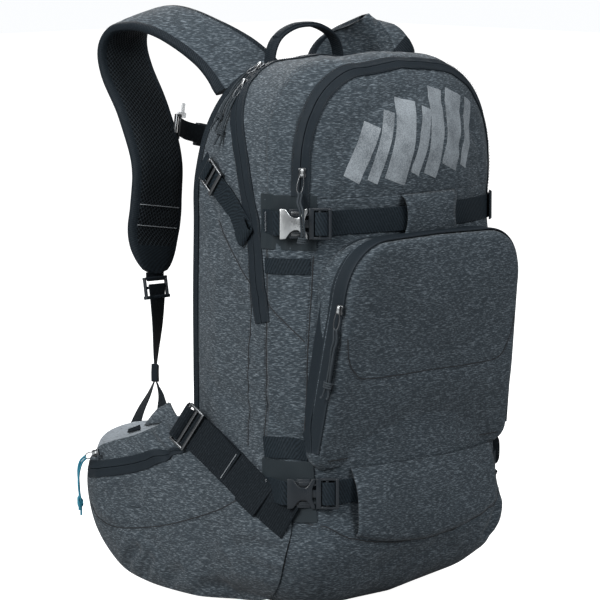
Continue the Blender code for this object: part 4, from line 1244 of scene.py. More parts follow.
def makeCovers():
    # cloth loop over the upper strap: its middle stands clear of the webbing
    rows = []
    for i in range(19):
        t = i / 18
        zed = 0.4275 - 0.045 * t
        row = []
        for j in range(13):
            u = j / 12
            x = -0.036 + 0.082 * u + 0.005 * math.sin(math.pi * t) * (1 - 2 * u)
            rise = 0.001 + 0.0086 * math.sin(math.pi * t) ** 0.55
            row.append(Vector((x, frontY(x, zed) - rise, zed)))
        rows.append(row)
    loop = gridPiece("upperClothLoop", rows, None, "shellCloth")
    fixOutward(loop, Vector((0.02, 0, 0.4)))
    thicken(loop, 0.0014, 1.0)
    placePiece(loop, "bag", "shellCloth", ("upper_strap_loop",))
    bartack("loopTack", [(-0.032, -0.12, 0.4262), (0.042, -0.12, 0.4262)], "bag", lift=0.003)
    keeper = [onSkin(p, 0.0058)[0] for p in ((0.118, -0.09, 0.404), (0.13, -0.082, 0.404), (0.139, -0.07, 0.404))]
    band("strapKeeper", smoothPath(keeper, 12), upward, 0.029, 0.0016, "bag", "binding", ("upper_strap_keeper",))
    # long cloth cover over the lower strap, open towards the buckle
    rows = []
    for i in range(31):
        t = i / 30
        row = []
        for j in range(41):
            u = j / 40
            x = -0.098 + 0.216 * u
            top = 0.152
            bottom = 0.069 + 0.016 * (abs(x) / 0.1) ** 2
            zed = top + (bottom - top) * t
            mouth = math.exp(-(((x + 0.098) / 0.03) ** 2))
            rise = 0.0012 + (0.0062 + 0.0022 * mouth) * math.sin(math.pi * t) ** (0.5 + 0.3 * (1 - t))
            rise += 0.0012 * noise.noise(Vector((x * 22, 1.3, zed * 22))) * math.sin(math.pi * t)
            y = frontY(x, zed) - rise
            row.append(Vector((x, min(y, -0.098 + 0.35 * max(x - 0.09, 0)), zed)))
        rows.append(row)
    cover = gridPiece("lowerClothCover", rows, None, "shellCloth")
    fixOutward(cover, Vector((0.02, 0, 0.1)))
    thicken(cover, 0.0014, 1.0)
    placePiece(cover, "bag", "shellCloth", ("lower_strap_cover",))
    stitches("coverTopStitch", [(-0.085, -0.11, 0.15), (0.03, -0.12, 0.15), (0.118, -0.1, 0.15)], "bag",
             lift=0.003, shift=0.0)


def makeSideWebs():
    # short webbing steps sewn between the side seams
    for mark, sign in hands:
        for name, z, wide in (("sideStep", 0.359, 0.016), ("lowStep", 0.173, 0.022)):
            line = [(-0.15 * sign, -0.033, z), (-0.147 * sign, -0.05, z + 0.0005),
                    (-0.139 * sign, -0.07, z + 0.001), (-0.1335 * sign, -0.08, z + 0.001)]
            laid(name + mark, line, wide, "bag", "webbing", 0.0013, 0.0006, 24)


makeCovers()
makeSideWebs()
print("front straps made")

# ---- hip wings: one piece of cloth from the front seam, past the hinge, round the fin

wing = {
    "edge": ((-0.07, 0.1), (-0.05, 0.113), (-0.02, 0.131), (0.02, 0.156), (0.055, 0.179), (0.085, 0.19),
             (0.108, 0.186), (0.135, 0.173), (0.165, 0.161), (0.198, 0.151), (0.221, 0.142), (0.236, 0.127),
             (0.241, 0.104), (0.237, 0.078), (0.226, 0.053), (0.206, 0.031), (0.18, 0.014), (0.145, 0.006),
             (0.11, 0.003), (0.07, 0.002), (0.03, 0.002), (-0.008, 0.006), (-0.034, 0.017), (-0.052, 0.034),
             (-0.062, 0.055), (-0.069, 0.08)),
    "spine": (0.005, 0.165, 0.088), "base": 0.1495, "puff": 0.0145, "count": 190, "rings": 26,
}
# lines on the wing are given by y and z; the zip's also by x
wingSeam = ((0.232, 0.078), (0.217, 0.066), (0.172, 0.062), (0.1, 0.075),
            (0.0285, 0.099), (-0.006, 0.1165), (-0.02, 0.125))
wingZip = ((-0.16, 0.234, 0.118), (-0.168, 0.215, 0.121), (-0.168, 0.18, 0.128), (-0.168, 0.14, 0.138),
           (-0.166, 0.105, 0.15), (-0.162, 0.066, 0.16))
wingFolds = (  # crease line, width, depth
    (((0.15, 0.17), (0.125, 0.16), (0.1, 0.15)), 0.006, -0.0026),
    (((0.12, 0.18), (0.1, 0.166), (0.08, 0.16)), 0.006, -0.0022),
    (((0.18, 0.012), (0.165, 0.03), (0.15, 0.042)), 0.006, -0.0026),
    (((0.15, 0.006), (0.138, 0.024), (0.13, 0.034)), 0.006, -0.0022),
    (((0.11, 0.003), (0.1, 0.02), (0.085, 0.028)), 0.006, -0.002),
    (((0.07, 0.002), (0.055, 0.016), (0.03, 0.02)), 0.006, -0.0018),
    (((-0.06, 0.065), (-0.03, 0.072), (0.0, 0.066)), 0.008, -0.0022),
    (((-0.05, 0.045), (-0.025, 0.052), (0.01, 0.046)), 0.008, -0.0016),
    (((0.195, 0.09), (0.17, 0.1), (0.15, 0.096)), 0.012, -0.0014),
)


def wingBase(y, z):
    hit = skinTree.ray_cast(Vector((-0.4, min(y, 0.083), max(z, 0.012))), Vector((1, 0, 0)))[0]
    body = hit.x if hit else -wing["base"]
    t = ease((y - 0.02) / 0.05)
    return body * (1 - t) - wing["base"] * t


def wingRows(inside=False):
    outline = smoothPath([(0, y, z) for y, z in wing["edge"] + wing["edge"][:1]], 400)
    edge = evenly(outline, wing["count"] + 1)[:-1]
    low, high, level = wing["spine"]
    rows = []
    for i in range(wing["rings"] + 1):
        t = (i / wing["rings"]) ** 1.25 * 0.995
        row = []
        for p in edge:
            y = p.y + (min(max(p.y, low), high) - p.y) * t
            z = p.z + (level - p.z) * t
            base = wingBase(y, z)
            shape = 1 - (1 - t) ** 2.6
            onFin = ease((y - 0.085) / 0.03)
            if inside:
                rise = 0.0085 * min(shape * 1.6, 1.0) * onFin - 0.002 * (1 - onFin)
                row.append(Vector((base + rise, y, z)))
            else:
                front = ease((y + 0.07) / 0.06)
                rise = 0.0022 + wing["puff"] * shape * (0.35 + 0.65 * front)
                row.append(Vector((base - rise, y, z)))
        rows.append(row)
    return rows


def makeWing(mark, sign):
    outer, inner = wingRows(), wingRows(True)
    flat = np.array([tuple(p) for row in outer for p in row])
    move = np.zeros(len(flat))
    sideOn = flat * np.array((0.0, 1.0, 1.0))
    for line, width, depth in wingFolds:
        d = nearLine(sideOn, [(0, *p[-2:]) for p in line])
        move += 1.5 * depth * np.exp(-((d / width) ** 2)) - 0.7 * depth * np.exp(-(((d - 1.8 * width) / width) ** 2))
    for line, width, depth in ((wingSeam, 0.003, -0.0016), (wingZip, 0.011, -0.0006)):
        d = nearLine(sideOn, [(0, *p[-2:]) for p in line])
        move += depth * np.exp(-((d / width) ** 2)) + 0.001 * np.exp(-((d / 0.02) ** 2))
    move += 0.0022 * noiseField(flat, 17, 5 + sign) + 0.0006 * noiseField(flat, 55, 6)
    share = np.repeat(np.clip(np.arange(len(outer)) / 4.0, 0, 1), len(outer[0]))
    flat[:, 0] -= move * share
    outer = [[Vector(p) for p in flat[i * len(outer[0]):(i + 1) * len(outer[0])]] for i in range(len(outer))]
    rows = outer[::-1] + inner
    rows = [[Vector((p.x * sign, p.y, max(p.z, 0.0005))) for p in row] for row in rows]
    obj = gridPiece("hipWing" + mark, rows, None, "sideCloth", closedRows=True)
    bm = bmesh.new()
    bm.from_mesh(obj.data)
    bm.verts.ensure_lookup_table()
    wide = len(rows[0])
    bm.faces.new([bm.verts[i] for i in range(wide)])
    bm.faces.new([bm.verts[i] for i in range(len(rows) * wide - wide, len(rows) * wide)])
    bmesh.ops.remove_doubles(bm, verts=bm.verts, dist=0.00005)
    bmesh.ops.recalc_face_normals(bm, faces=bm.faces)
    bm.to_mesh(obj.data)
    bm.free()
    obj.data.shade_smooth()
    tree = treeOf(obj)
    bendWing(obj, "sideCloth", ("hip_fin_" + mark.lower(),))
    return tree


def bendWing(obj, finish, replaced=()):
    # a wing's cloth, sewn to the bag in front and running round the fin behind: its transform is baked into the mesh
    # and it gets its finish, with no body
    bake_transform(obj)
    placePiece(obj, None, finish, replaced)


def onWing(tree, sign, p):
    return tree.ray_cast(Vector((-0.4 * sign, p.y, p.z)), Vector((sign, 0, 0)))[0]


def wingParts(mark, sign, tree):
    widths = [0.0185 - 0.015 * ease((t - 0.62) / 0.38) for t in np.linspace(0, 1, 44)]
    tape = laid("wingZipTape" + mark, mirrored(wingZip, sign), 0.0185, None, "zipTape", 0.001, 0.0004, 44,
                widths=widths, profile=tapeProfile(), tree=tree, cover=0.1)
    bendWing(tape, "zipTape")
    sewnLine = [onWing(tree, sign, p) or Vector((-0.16 * sign, p.y, p.z))
                for p in smoothPath([(0, y, z) for y, z in wingSeam], 60)]
    seam = laid("wingSeam" + mark, sewnLine, 0.0011, None, "seamThread", 0.0004, 0.0002, 60, rows=2, tree=tree)
    bendWing(seam, "seamThread")
    sewn = stitches("wingStitch" + mark, sewnLine, None, tree=tree, shift=0.0024 * sign)
    bendWing(sewn, "seamThread")
    front = [(-0.158, -0.07, 0.098), (-0.158, -0.069, 0.08), (-0.158, -0.062, 0.055), (-0.158, -0.052, 0.035),
             (-0.158, -0.034, 0.017), (-0.158, -0.008, 0.006)]
    laid("wingFrontSeam" + mark, mirrored(front, sign), 0.0014, "bag", "seamThread", 0.0006, 0.0002, 50, rows=2)
    # wide strap and its glide
    top, low = Vector((-0.16, 0.077, 0.1845)), Vector((-0.154, -0.0715, 0.0985))
    slope = (low - top).normalized()
    across = Vector((0, -slope.z, slope.y)).normalized()

    def strapAt(t, lift):
        # how the strap lies over the wing at this place: its middle and its side
        middle, samples = top.lerp(low, t), []
        for u in (-0.018, -0.009, 0.0, 0.009, 0.018):
            hit = onWing(tree, sign, middle + across * u)
            samples.append((u, max(abs(hit.x) if hit else 0.15, 0.15)))
        lean = (samples[-1][1] - samples[0][1]) / 0.036
        far = max(x - lean * u for u, x in samples)
        return Vector((-(far + lift), middle.y, middle.z)), Vector((-lean, across.y, across.z))

    def overWing(t0, t1, lift, count=9):
        laidOut = [strapAt(t, lift) for t in np.linspace(t0, t1, count)]
        line = smoothPath([p for p, side in laidOut][::2], 30)
        sides = smoothPath([side for p, side in laidOut][::2], 30)
        return mirrored(line, sign), mirrored(sides, sign)

    band("wideStrap" + mark, *overWing(0.0, 1.0, 0.0012, 13), 0.038, 0.0015, "bag", "wideWebbing",
         ("wide_strap_" + mark.lower(),))
    band("wideStrapKeeper" + mark, *overWing(0.6, 0.78, 0.0026), 0.0396, 0.0012, "bag", "wideWebbing")
    band("wideStrapFold" + mark, *overWing(0.0, 0.45, 0.0028), 0.0376, 0.0015, "bag", "wideWebbing")
    tackAt, tackSide = strapAt(0.43, 0.004)
    wire("wideTack" + mark, mirrored([tackAt + tackSide * u for u in np.linspace(-0.015, 0.015, 9)], sign),
         0.0009, "bag", "paleThread", resolution=1)
    at, side = strapAt(0.03, 0.0042)
    along = (low - top).normalized()
    side = squareTo(side, along)
    out = along.cross(side)
    if out.x > 0:
        out = -out
    if sign < 0:
        at, along, out, side = mirrored((at, along, out, side), -1)
    glide = bars("glide" + mark, at, (along, side, out), [
        *rung(-0.0115, -0.0085, 0.023, -0.0008, 0.003), *rung(0.0085, 0.0118, 0.023, -0.0008, 0.0036),
        *rails(-0.011, 0.011, 0.0202, 0.023, -0.0008, 0.0032), *rung(-0.0018, 0.0018, 0.0215, -0.0004, 0.002)],
        0.0011, None, "darkMetal")
    placePiece(glide, "glide_" + mark.lower(), "darkMetal", ("tri_glide_" + mark.lower(),))
    loop = [at - along * 0.0185 - out * 0.0075, at - along * 0.0165 - out * 0.0035,
            at - along * 0.0135 + out * 0.002,
            at - along * 0.0095 + out * 0.0046, at - along * 0.005 + out * 0.0034, at - along * 0.001 - out * 0.001,
            at + along * 0.006 - out * 0.003]
    band("glideLoop" + mark, smoothPath(loop, 20), side, 0.037, 0.0015, "bag", "wideWebbing")


def finPad(mark, sign):
    edge = [(0.1, 0.172), (0.13, 0.176), (0.165, 0.174), (0.2, 0.164), (0.223, 0.151), (0.234, 0.13),
            (0.237, 0.106), (0.232, 0.078), (0.22, 0.054), (0.2, 0.035), (0.17, 0.022), (0.13, 0.016), (0.1, 0.018)]
    ring = evenly(smoothPath([(0, y, z) for y, z in edge + edge[:1]], 300), 121)[:-1]
    rows = []
    for x, t in ((-0.146, 0.06), (-0.146, 0.0), (-0.144, -0.012), (-0.14, -0.016), (-0.1375, -0.004),
                 (-0.1362, 0.04), (-0.1358, 0.12), (-0.1352, 0.3), (-0.1345, 0.6), (-0.1342, 0.97)):
        rows.append([Vector((x * sign, p.y + (0.168 - p.y) * t, p.z + (0.1 - p.z) * t)) for p in ring])
    pad = gridPiece("finPad" + mark, rows, None, "lining", closedRows=True, caps=True)
    placePiece(pad, "fin_" + mark.lower(), "lining")
    knit = [[p - Vector((0.0008 * -sign, 0, 0)) for p in row] for row in rows[5:]]
    cover = gridPiece("finMesh" + mark, knit, None, "padKnit", closedRows=True)
    placePiece(cover, "fin_" + mark.lower(), "padKnit")


for mark, sign in hands:
    tree = makeWing(mark, sign)
    wingParts(mark, sign, tree)
    finPad(mark, sign)
print("hip wings made")

# ---- upper side straps with their ladder locks

sideStrap = {"points": ((-0.15, 0.06, 0.452), (-0.153, 0.03, 0.424), (-0.153, 0.0, 0.395),
                        (-0.153, -0.006, 0.3895)), "wide": 0.025}


def makeSideStraps():
    for mark, sign in hands:
        laid("sideStrap" + mark, mirrored(sideStrap["points"], sign), sideStrap["wide"], "bag", "webbing", 0.0015,
             0.0014, 40, ("side_strap_" + mark.lower(),), cover=0.3)
        top, low = Vector(sideStrap["points"][0]), Vector(sideStrap["points"][2])
        along = Vector((0, low.y - top.y, low.z - top.z)).normalized()
        at = onSkin(Vector((-0.155, 0.0515, 0.444)), 0.0034)[0]
        out = onSkin(Vector((-0.155, 0.0515, 0.444)))[1]
        out = squareTo(out, along)
        side = along.cross(out)
        end = onSkin(Vector((-0.155, -0.004, 0.391)), 0.0034)[0]
        roll = [end - along * 0.01, end - along * 0.002 + out * 0.003, end + along * 0.006 + out * 0.0045,
                end + along * 0.009 + out * 0.0015, end + along * 0.004 - out * 0.0012]
        if sign < 0:
            at, along, out, side = mirrored((at, along, out, side), -1)
            roll = mirrored(roll, -1)
        lock = bars("sideLock" + mark, at, (along, side, out), [
            *rung(-0.0125, -0.0095, 0.0155, -0.0006, 0.0036), *rung(0.009, 0.0128, 0.0165, -0.0006, 0.0044),
            *rails(-0.012, 0.0115, 0.013, 0.0155, -0.0006, 0.003), *rung(-0.002, 0.0012, 0.014, 0.0, 0.0026)],
            0.001, None, "darkMetal")
        placePiece(lock, "bag", "darkMetal", ("side_lock_" + mark.lower(),))
        anchor = [at - along * 0.022 - out * 0.0022, at - along * 0.016 - out * 0.0005,
                  at - along * 0.01 + out * 0.0036, at - along * 0.0045 + out * 0.0022]
        band("sideAnchor" + mark, smoothPath(anchor, 12), side, 0.025, 0.0014, "bag", "webbing")
        band("sideRoll" + mark, smoothPath(roll, 14), side, 0.0245, 0.0016, "bag", "webbing")


makeSideStraps()

# ---- shoulder straps

shoulders = {
    "Left": {
        "path": ((-0.052, 0.09, 0.535), (-0.0545, 0.102, 0.548), (-0.061, 0.12, 0.564), (-0.071, 0.146, 0.581),
                 (-0.0775, 0.177, 0.5935), (-0.08, 0.21, 0.5985), (-0.08, 0.242, 0.592), (-0.08, 0.258, 0.57),
                 (-0.08, 0.252, 0.54), (-0.083, 0.222, 0.497), (-0.09, 0.195, 0.448), (-0.097, 0.188, 0.4),
                 (-0.102, 0.188, 0.364), (-0.106, 0.18, 0.328)),
        "sides": ((-0.94, 0, -0.34), (-0.93, 0, -0.37), (-0.92, 0, -0.38), (-0.94, 0, -0.34), (-0.96, 0, -0.26),
                  (-0.98, 0, -0.18), (-1, 0, -0.1), (-1, 0, 0), (-1, 0, 0), (-1, 0.05, 0), (-1, 0.05, 0),
                  (-1, 0, 0), (-1, 0, 0), (-1, 0, 0)),
        "crumple": 0.001, "bulge": 1.0, "droop": 0.0, "root": 0.34},
    "Right": {
        "path": ((0.081, 0.0985, 0.53), (0.088, 0.095, 0.556), (0.098, 0.084, 0.573), (0.108, 0.072, 0.5835),
                 (0.116, 0.066, 0.587), (0.123, 0.07, 0.585), (0.128, 0.09, 0.571), (0.126, 0.124, 0.544),
                 (0.118, 0.159, 0.502), (0.109, 0.182, 0.452), (0.105, 0.19, 0.4), (0.104, 0.189, 0.364),
                 (0.106, 0.18, 0.328)),
        "sides": ((-0.85, 0.35, 0.2), (-0.82, 0.5, 0.15), (-0.78, 0.6, 0.05), (-0.73, 0.68, 0), (-0.72, 0.69, 0),
                  (-0.75, 0.62, 0), (-0.85, 0.42, 0.1), (-0.95, 0.2, 0), (-1, 0, 0), (-1, 0, 0), (-1, 0, 0),
                  (-1, 0, 0), (-1, 0, 0)),
        "crumple": 0.005, "bulge": 1.1, "droop": 0.025, "root": 0.0},
    "wide": 0.07, "thick": 0.0125, "count": 110,
}


def padSection(wide, thick):
    # an oval cut through a pad, from its left edge over the outer face and back under the inner one
    points = []
    for k in range(40):
        a = math.pi - 2 * math.pi * k / 40
        u = math.copysign(abs(math.cos(a)) ** 0.45, math.cos(a))
        v = math.copysign(abs(math.sin(a)) ** 0.7, math.sin(a))
        groove = math.exp(-(((abs(u) - 0.76) / 0.035) ** 2)) * 0.14
        points.append((u * wide / 2, v * (1 - groove) * thick / 2))
    return points


def makeShoulder(mark):
    look, count = shoulders[mark], shoulders["count"]
    path, sides = smoothPath(look["path"], count), smoothPath(look["sides"], count)
    rings = []
    for i, point in enumerate(path):
        along = heading(path, i)
        side = squareTo(sides[i], along)
        out = along.cross(side)
        fromEnd = min(1.0, (count - 1 - i) / 14.0)
        taper = math.sqrt(max(1 - (1 - fromEnd) ** 2.0, 0.0))
        hump = 1 + (look["bulge"] - 1) * math.exp(-(((i / count) - 0.22) / 0.13) ** 2)
        root = 1 + look["root"] * math.exp(-((i / count / 0.09) ** 2))
        wide = shoulders["wide"] * (0.16 + 0.84 * taper) * hump * root
        sag = look["droop"] * math.exp(-((((i / count) - 0.2) / 0.11) ** 2))
        thick = shoulders["thick"] * (0.55 + 0.45 * min(1, (count - 1 - i) / 6.0))
        ring = []
        for u, v in padSection(wide, thick):
            wobble = look["crumple"] * noise.noise(Vector((u * 20, i * 0.1, 2.0 if mark == "Left" else 7.0)))
            wobble += look["crumple"] * 0.7 * noise.noise(Vector((u * 75, i * 0.07, 5.0)))
            drop = Vector((0, 0, -sag * abs(2 * u / wide) ** 2.4))
            ring.append(point + side * u + out * (v + wobble) + drop)
        rings.append(ring)
    obj = gridPiece("shoulderPad" + mark, rings, None, "shellCloth", closedRows=True, uvScale=1, caps=True,
                    sharp=60)
    for name in ("binding", "knit"):
        obj.data.materials.append(finishes[name])
    wide = len(rings[0])
    section = padSection(1.0, 1.0)
    for face in obj.data.polygons:
        cols = sorted(v % wide for v in face.vertices)
        rowAt = min(v // wide for v in face.vertices)
        u = sum(section[c][0] for c in cols) / len(cols)
        v = sum(section[c][1] for c in cols) / len(cols)
        nearEnd = rowAt > count - 9
        if abs(u) > 0.375 or nearEnd:
            face.material_index = 1
        elif v < 0:
            face.material_index = 2
    placePiece(obj, "bag", "shellCloth", ("shoulder_pad_" + mark.lower(),))
    for label, shift in (("Tack", 0.155), ("TackLow", 0.115)):
        at = max(int(count * (1 - shift)), 1)
        ring = rings[at]
        middle = len(ring) // 2 + len(ring) // 4
        step = [ring[(middle + k) % len(ring)] for k in (-4, -2, 0, 2, 4)]
        normal = (sum(step, Vector()) / 5 - path[at]).normalized()
        wire("shoulder" + label + mark, [p + normal * 0.0006 for p in smoothPath(step, 12)], 0.0011, "bag",
             "paleThread", resolution=1)


for mark in ("Left", "Right"):
    makeShoulder(mark)


def harness(mark, sign):
    at = Vector((-0.1075 * sign, 0.178, 0.314))
    axes = ((0, -0.16, -0.987), (1, 0, 0), (0, -0.987, 0.16))
    lock = bars("ladderLock" + mark, at, axes, [
        *rung(-0.0115, -0.0085, 0.0165, -0.0022, 0.0024), *rung(0.0085, 0.0122, 0.0172, -0.0026, 0.003),
        *rails(-0.011, 0.011, 0.0138, 0.0165, -0.0018, 0.0022), *rung(-0.0016, 0.0014, 0.015, -0.0014, 0.0018)],
        0.001, None, "plastic")
    placePiece(lock, "bag", "plastic", ("ladder_lock_" + mark.lower(),))
    tab = mirrored([(-0.107, 0.18, 0.33), (-0.1073, 0.1792, 0.3235), (-0.1074, 0.1768, 0.3215)], sign)
    band("lockTab" + mark, smoothPath(tab, 8), Vector((1, 0, 0)), 0.025, 0.0018, "bag", "plainWebbing")
    # webbing from the lock, turning edge-on above its keeper
    points = mirrored([(-0.1076, 0.1764, 0.318), (-0.108, 0.175, 0.302), (-0.1105, 0.1725, 0.276),
                   (-0.116, 0.169, 0.248), (-0.1195, 0.1665, 0.23)], sign)
    sides = [Vector((1, 0, 0)), Vector((1, 0.05 * sign, 0)), Vector((0.97, 0.25 * sign, 0)),
             Vector((0.8, 0.6 * sign, 0)), Vector((0.72, 0.69 * sign, 0))]
    band("webbingUpper" + mark, smoothPath(points, 30), [Vector(s) for s in smoothPath(sides, 30)], 0.0235,
         0.0015, "bag", "plainWebbing", ("shoulder_webbing_" + mark.lower(),))
    keeper = mirrored([(-0.119, 0.167, 0.233), (-0.1205, 0.1658, 0.224), (-0.1215, 0.1645, 0.215)], sign)
    band("webbingKeeper" + mark, smoothPath(keeper, 8), Vector((0.72, 0.69 * sign, 0)), 0.0262, 0.0068, "bag",
         "binding")
    first = mirrored([(-0.1213, 0.1655, 0.216), (-0.126, 0.169, 0.202), (-0.135, 0.172, 0.186),
                      (-0.143, 0.172, 0.172),
                  (-0.148, 0.17, 0.164)], sign)
    turn = [Vector((0.72, 0.69 * sign, 0)), Vector((0.65, 0.75 * sign, 0)), Vector((0.45, 0.89 * sign, 0)),
            Vector((0.25, 0.97 * sign, 0)), Vector((0.15, 0.99 * sign, 0))]
    band("webbingRear" + mark, smoothPath(first, 20), [Vector(s) for s in smoothPath(turn, 20)], 0.02, 0.0014,
         "bag", "plainWebbing")
    second = mirrored([(-0.1213, 0.163, 0.216), (-0.126, 0.154, 0.205), (-0.134, 0.142, 0.195),
                       (-0.14, 0.133, 0.186)], sign)
    band("webbingFront" + mark, smoothPath(second, 20), [Vector(s) for s in smoothPath(turn[:4], 20)], 0.02, 0.0014,
         "bag", "plainWebbing")
    tabRows = []
    for t in np.linspace(0, 1, 8):
        low, high = Vector((-0.1475, 0.1, 0.185)).lerp(Vector((-0.148, 0.152, 0.172)), t), \
            Vector((-0.139, 0.123, 0.199)).lerp(Vector((-0.14, 0.14, 0.19)), t)
        tabRows.append([low.lerp(high, s) + Vector((-0.001 * math.sin(math.pi * s), 0,
                                                    0)) for s in np.linspace(0, 1, 7)])
    tabRows = [mirrored(row, sign) for row in tabRows]
    tabPiece = gridPiece("wingTab" + mark, tabRows, None, "sideCloth")
    thicken(tabPiece, 0.003, 0.0)
    placePiece(tabPiece, "bag", "sideCloth")
    # belt webbing folded in behind the fin, with its half of the buckle
    belt = mirrored([(-0.144, 0.24, 0.105), (-0.14, 0.248, 0.103), (-0.124, 0.253, 0.097), (-0.11, 0.248, 0.089),
                 (-0.103, 0.233, 0.079), (-0.101, 0.218, 0.072)], sign)
    lean = [(0, 0, 1), (0, 0, 1), (0, 0.1, 1), (0.1 * sign, 0.2, 1), (0.2 * sign, 0.3, 1), (0.2 * sign, 0.4, 1)]
    path = smoothPath(belt, 30)
    band("beltWebbing" + mark, path, [Vector(s) for s in smoothPath(lean, 30)], 0.025, 0.0015,
         "fin_" + mark.lower(), "webbing", ("hip_webbing_" + mark.lower(),))
    along = (path[-1] - path[-2]).normalized()
    out = Vector((sign, 0, 0))
    out = squareTo(out, along)
    side = along.cross(out)
    if mark == "Left":
        boxes = [
            *rung(0.0004, 0.005, 0.017, -0.0044, 0.0044), *rails(0.006, 0.03, 0.012, 0.0165, -0.0042, 0.0042),
            *rung(0.0045, 0.0315, 0.015, 0.0026, 0.0044), *rung(0.0045, 0.0315, 0.015, -0.0044, -0.0026)]
        made = bars("beltSocket", path[-1], (along, side, out), boxes, 0.0012, None, "plastic")
        placePiece(made, "fin_left", "plastic", ("hip_buckle_socket",))
    else:
        boxes = [
            *rung(0.0004, 0.0045, 0.0168, -0.0034, 0.0034), *rung(0.01, 0.0142, 0.0168, -0.0034, 0.0034),
            *rails(0.002, 0.013, 0.014, 0.0168, -0.0034, 0.0034),
            *rails(0.0135, 0.033, 0.006, 0.0108, -0.0019, 0.0019),
            *rung(0.0135, 0.0345, 0.0022, -0.0019, 0.0019)]
        made = bars("beltPlug", path[-1], (along, side, out), boxes, 0.001, None, "plastic")
        placePiece(made, "fin_right", "plastic", ("hip_buckle_plug",))


for mark, sign in hands:
    harness(mark, sign)
print("shoulder straps made")


def makeSternum():
    points = [(-0.045, 0.206, 0.48), (-0.025, 0.214, 0.474), (0.015, 0.216, 0.465), (0.048, 0.205, 0.459),
              (0.066, 0.19, 0.457)]
    band("sternumWebbing", smoothPath(points, 40), upward, 0.02, 0.0014, "sternum", "plainWebbing",
         ("sternum_strap",))
    axes = [Vector(a).normalized() for a in ((0.98, -0.02, -0.2), (0.2, 0, 0.98), (0, 1, 0))]
    at = Vector((0.01, 0.2177, 0.4662))
    made = bars("sternumBuckle", at, axes, [
        *rung(-0.018, -0.003, 0.0125, 0.0, 0.0064), *rung(-0.006, 0.006, 0.0095, 0.0012, 0.0054),
        *rails(0.0035, 0.018, 0.0092, 0.012, 0.0004, 0.006), *rung(0.004, 0.0072, 0.011, 0.001, 0.0056),
        *rung(0.015, 0.0182, 0.012, 0.0004, 0.0062)],
        0.0011, None, "plastic")
    placePiece(made, "sternum", "plastic", ("sternum_buckle",))
    # the clips that ride the strap edges, and the clear whistle guard
    axes = [Vector(a).normalized() for a in ((1, 0.18, -0.15), (0.15, 0, 1), (-0.18, 1, 0.03))]
    for name, place, boxes, finish in (
            ("sternumClipLeft", (-0.05, 0.204, 0.481),
             [*rung(-0.006, -0.003, 0.0135, -0.002, 0.002), *rung(0.001, 0.0035, 0.012, -0.0016, 0.0016),
              *rails(-0.005, 0.003, 0.011, 0.0135, -0.002, 0.002)],
             "darkMetal"),
            ("sternumClear", (-0.042, 0.207, 0.495),
             [((-0.007, -0.005, -0.0012), (0.008, 0.001, 0.0012)), ((-0.001, 0.0, -0.001), (0.005, 0.011, 0.001))],
             "clearPlastic"),
            ("sternumClipRight", (0.069, 0.188, 0.457),
             [*rung(-0.006, -0.003, 0.0135, -0.002, 0.002), *rung(0.003, 0.0055, 0.0135, -0.002, 0.002),
              *rails(-0.005, 0.005, 0.011, 0.0135, -0.002, 0.002)],
             "plastic")):
        bars(name, place, axes, boxes, 0.0009, "sternum", finish)


def makeHandle():
    y = 0.066
    points = [(-0.048, y, 0.55), (-0.044, y, 0.569), (-0.0345, y, 0.582), (-0.0155, y, 0.5905), (0.0045, y, 0.5925),
              (0.0245, y, 0.5905), (0.0435, y, 0.582), (0.053, y, 0.569), (0.0565, y, 0.55)]
    path = smoothPath(points, 60)
    band("handleWeb", path, rearward, 0.015, 0.0026, "handle", "binding", ("grab_handle",), crown=0.0012)
    band("handleCore", [p + Vector((0, 0, 0.0022)) for p in path[12:-12]], rearward, 0.01, 0.0022, "handle",
         "binding", crown=0.001)


makeSternum()
makeHandle()
print("handle and chest strap made")

# ---- zip sliders with their cord pulls

hipLine = ((-0.1655, 0.227, 0.1315), (-0.1675, 0.2325, 0.1255), (-0.169, 0.235, 0.115), (-0.169, 0.235, 0.1),
           (-0.168, 0.234, 0.085), (-0.167, 0.235, 0.07))
pulls = {  # name of its slider, cord and body, then how it hangs
    "flap": {"name": "flap_%s", "down": (0.0, 0.0, -1.0), "out": (-0.74, -0.68, 0.0), "finish": "pullCord",
             "thick": 0.0024, "knot": 0.96},
    "pocket": {"name": "pocket_%s", "down": (-0.0988, 0.1203, -0.9878),
               "out": (-0.97, -0.2, 0.07), "finish": "pullCord", "thick": 0.0024, "knot": 0.8},
    "mainUpper": {"name": "main_%s_upper", "down": (-0.87, -0.05, -0.49),
                  "out": (-0.49, -0.1, 0.87), "finish": "pullCord", "thick": 0.0022,
                  "knot": 0.8, "lift": 0.0022},
    "mainLower": {"name": "main_%s_lower", "down": (-0.6, -0.1, -0.79),
                  "out": (-0.79, -0.1, 0.6), "finish": "pullCord", "thick": 0.0022,
                  "knot": 0.76, "lift": 0.0015},
    "hipLeft": {"name": "hip_%s_left", "down": (0.0, 0.932, -0.3625),
                "out": (-1.0, 0.0, 0.0), "finish": "tealCord", "thick": 0.0024, "knot": 0.84,
                "line": hipLine},
    "hipRight": {"name": "hip_%s_right", "down": (0.0, 0.932, -0.3625),
                 "out": (1.0, 0.0, 0.0), "finish": "tealCord", "thick": 0.0024, "knot": 0.84,
                 "line": mirrored(hipLine, -1)},
}


def cornersOf(name):
    return np.array([tuple(v.co) for v in nodes[name].data.vertices])


def cordLine(name, bins=8):
    # the line down the middle of a hanging tube
    co = cornersOf(name)
    co = co[np.argsort(-co[:, 2])]
    tall = co[0, 2] - co[-1, 2]
    points = [Vector(co[co[:, 2] > co[0, 2] - tall * 0.04].mean(0))]
    for i in range(bins):
        high, low = co[0, 2] - tall * (i + 0.02) / bins, co[0, 2] - tall * (i + 1.02) / bins
        slab = co[(co[:, 2] <= high) & (co[:, 2] >= low)]
        if len(slab) > 5:
            points.append(Vector(slab.mean(0)))
    points.append(Vector(co[co[:, 2] < co[-1, 2] + tall * 0.04].mean(0)))
    return points


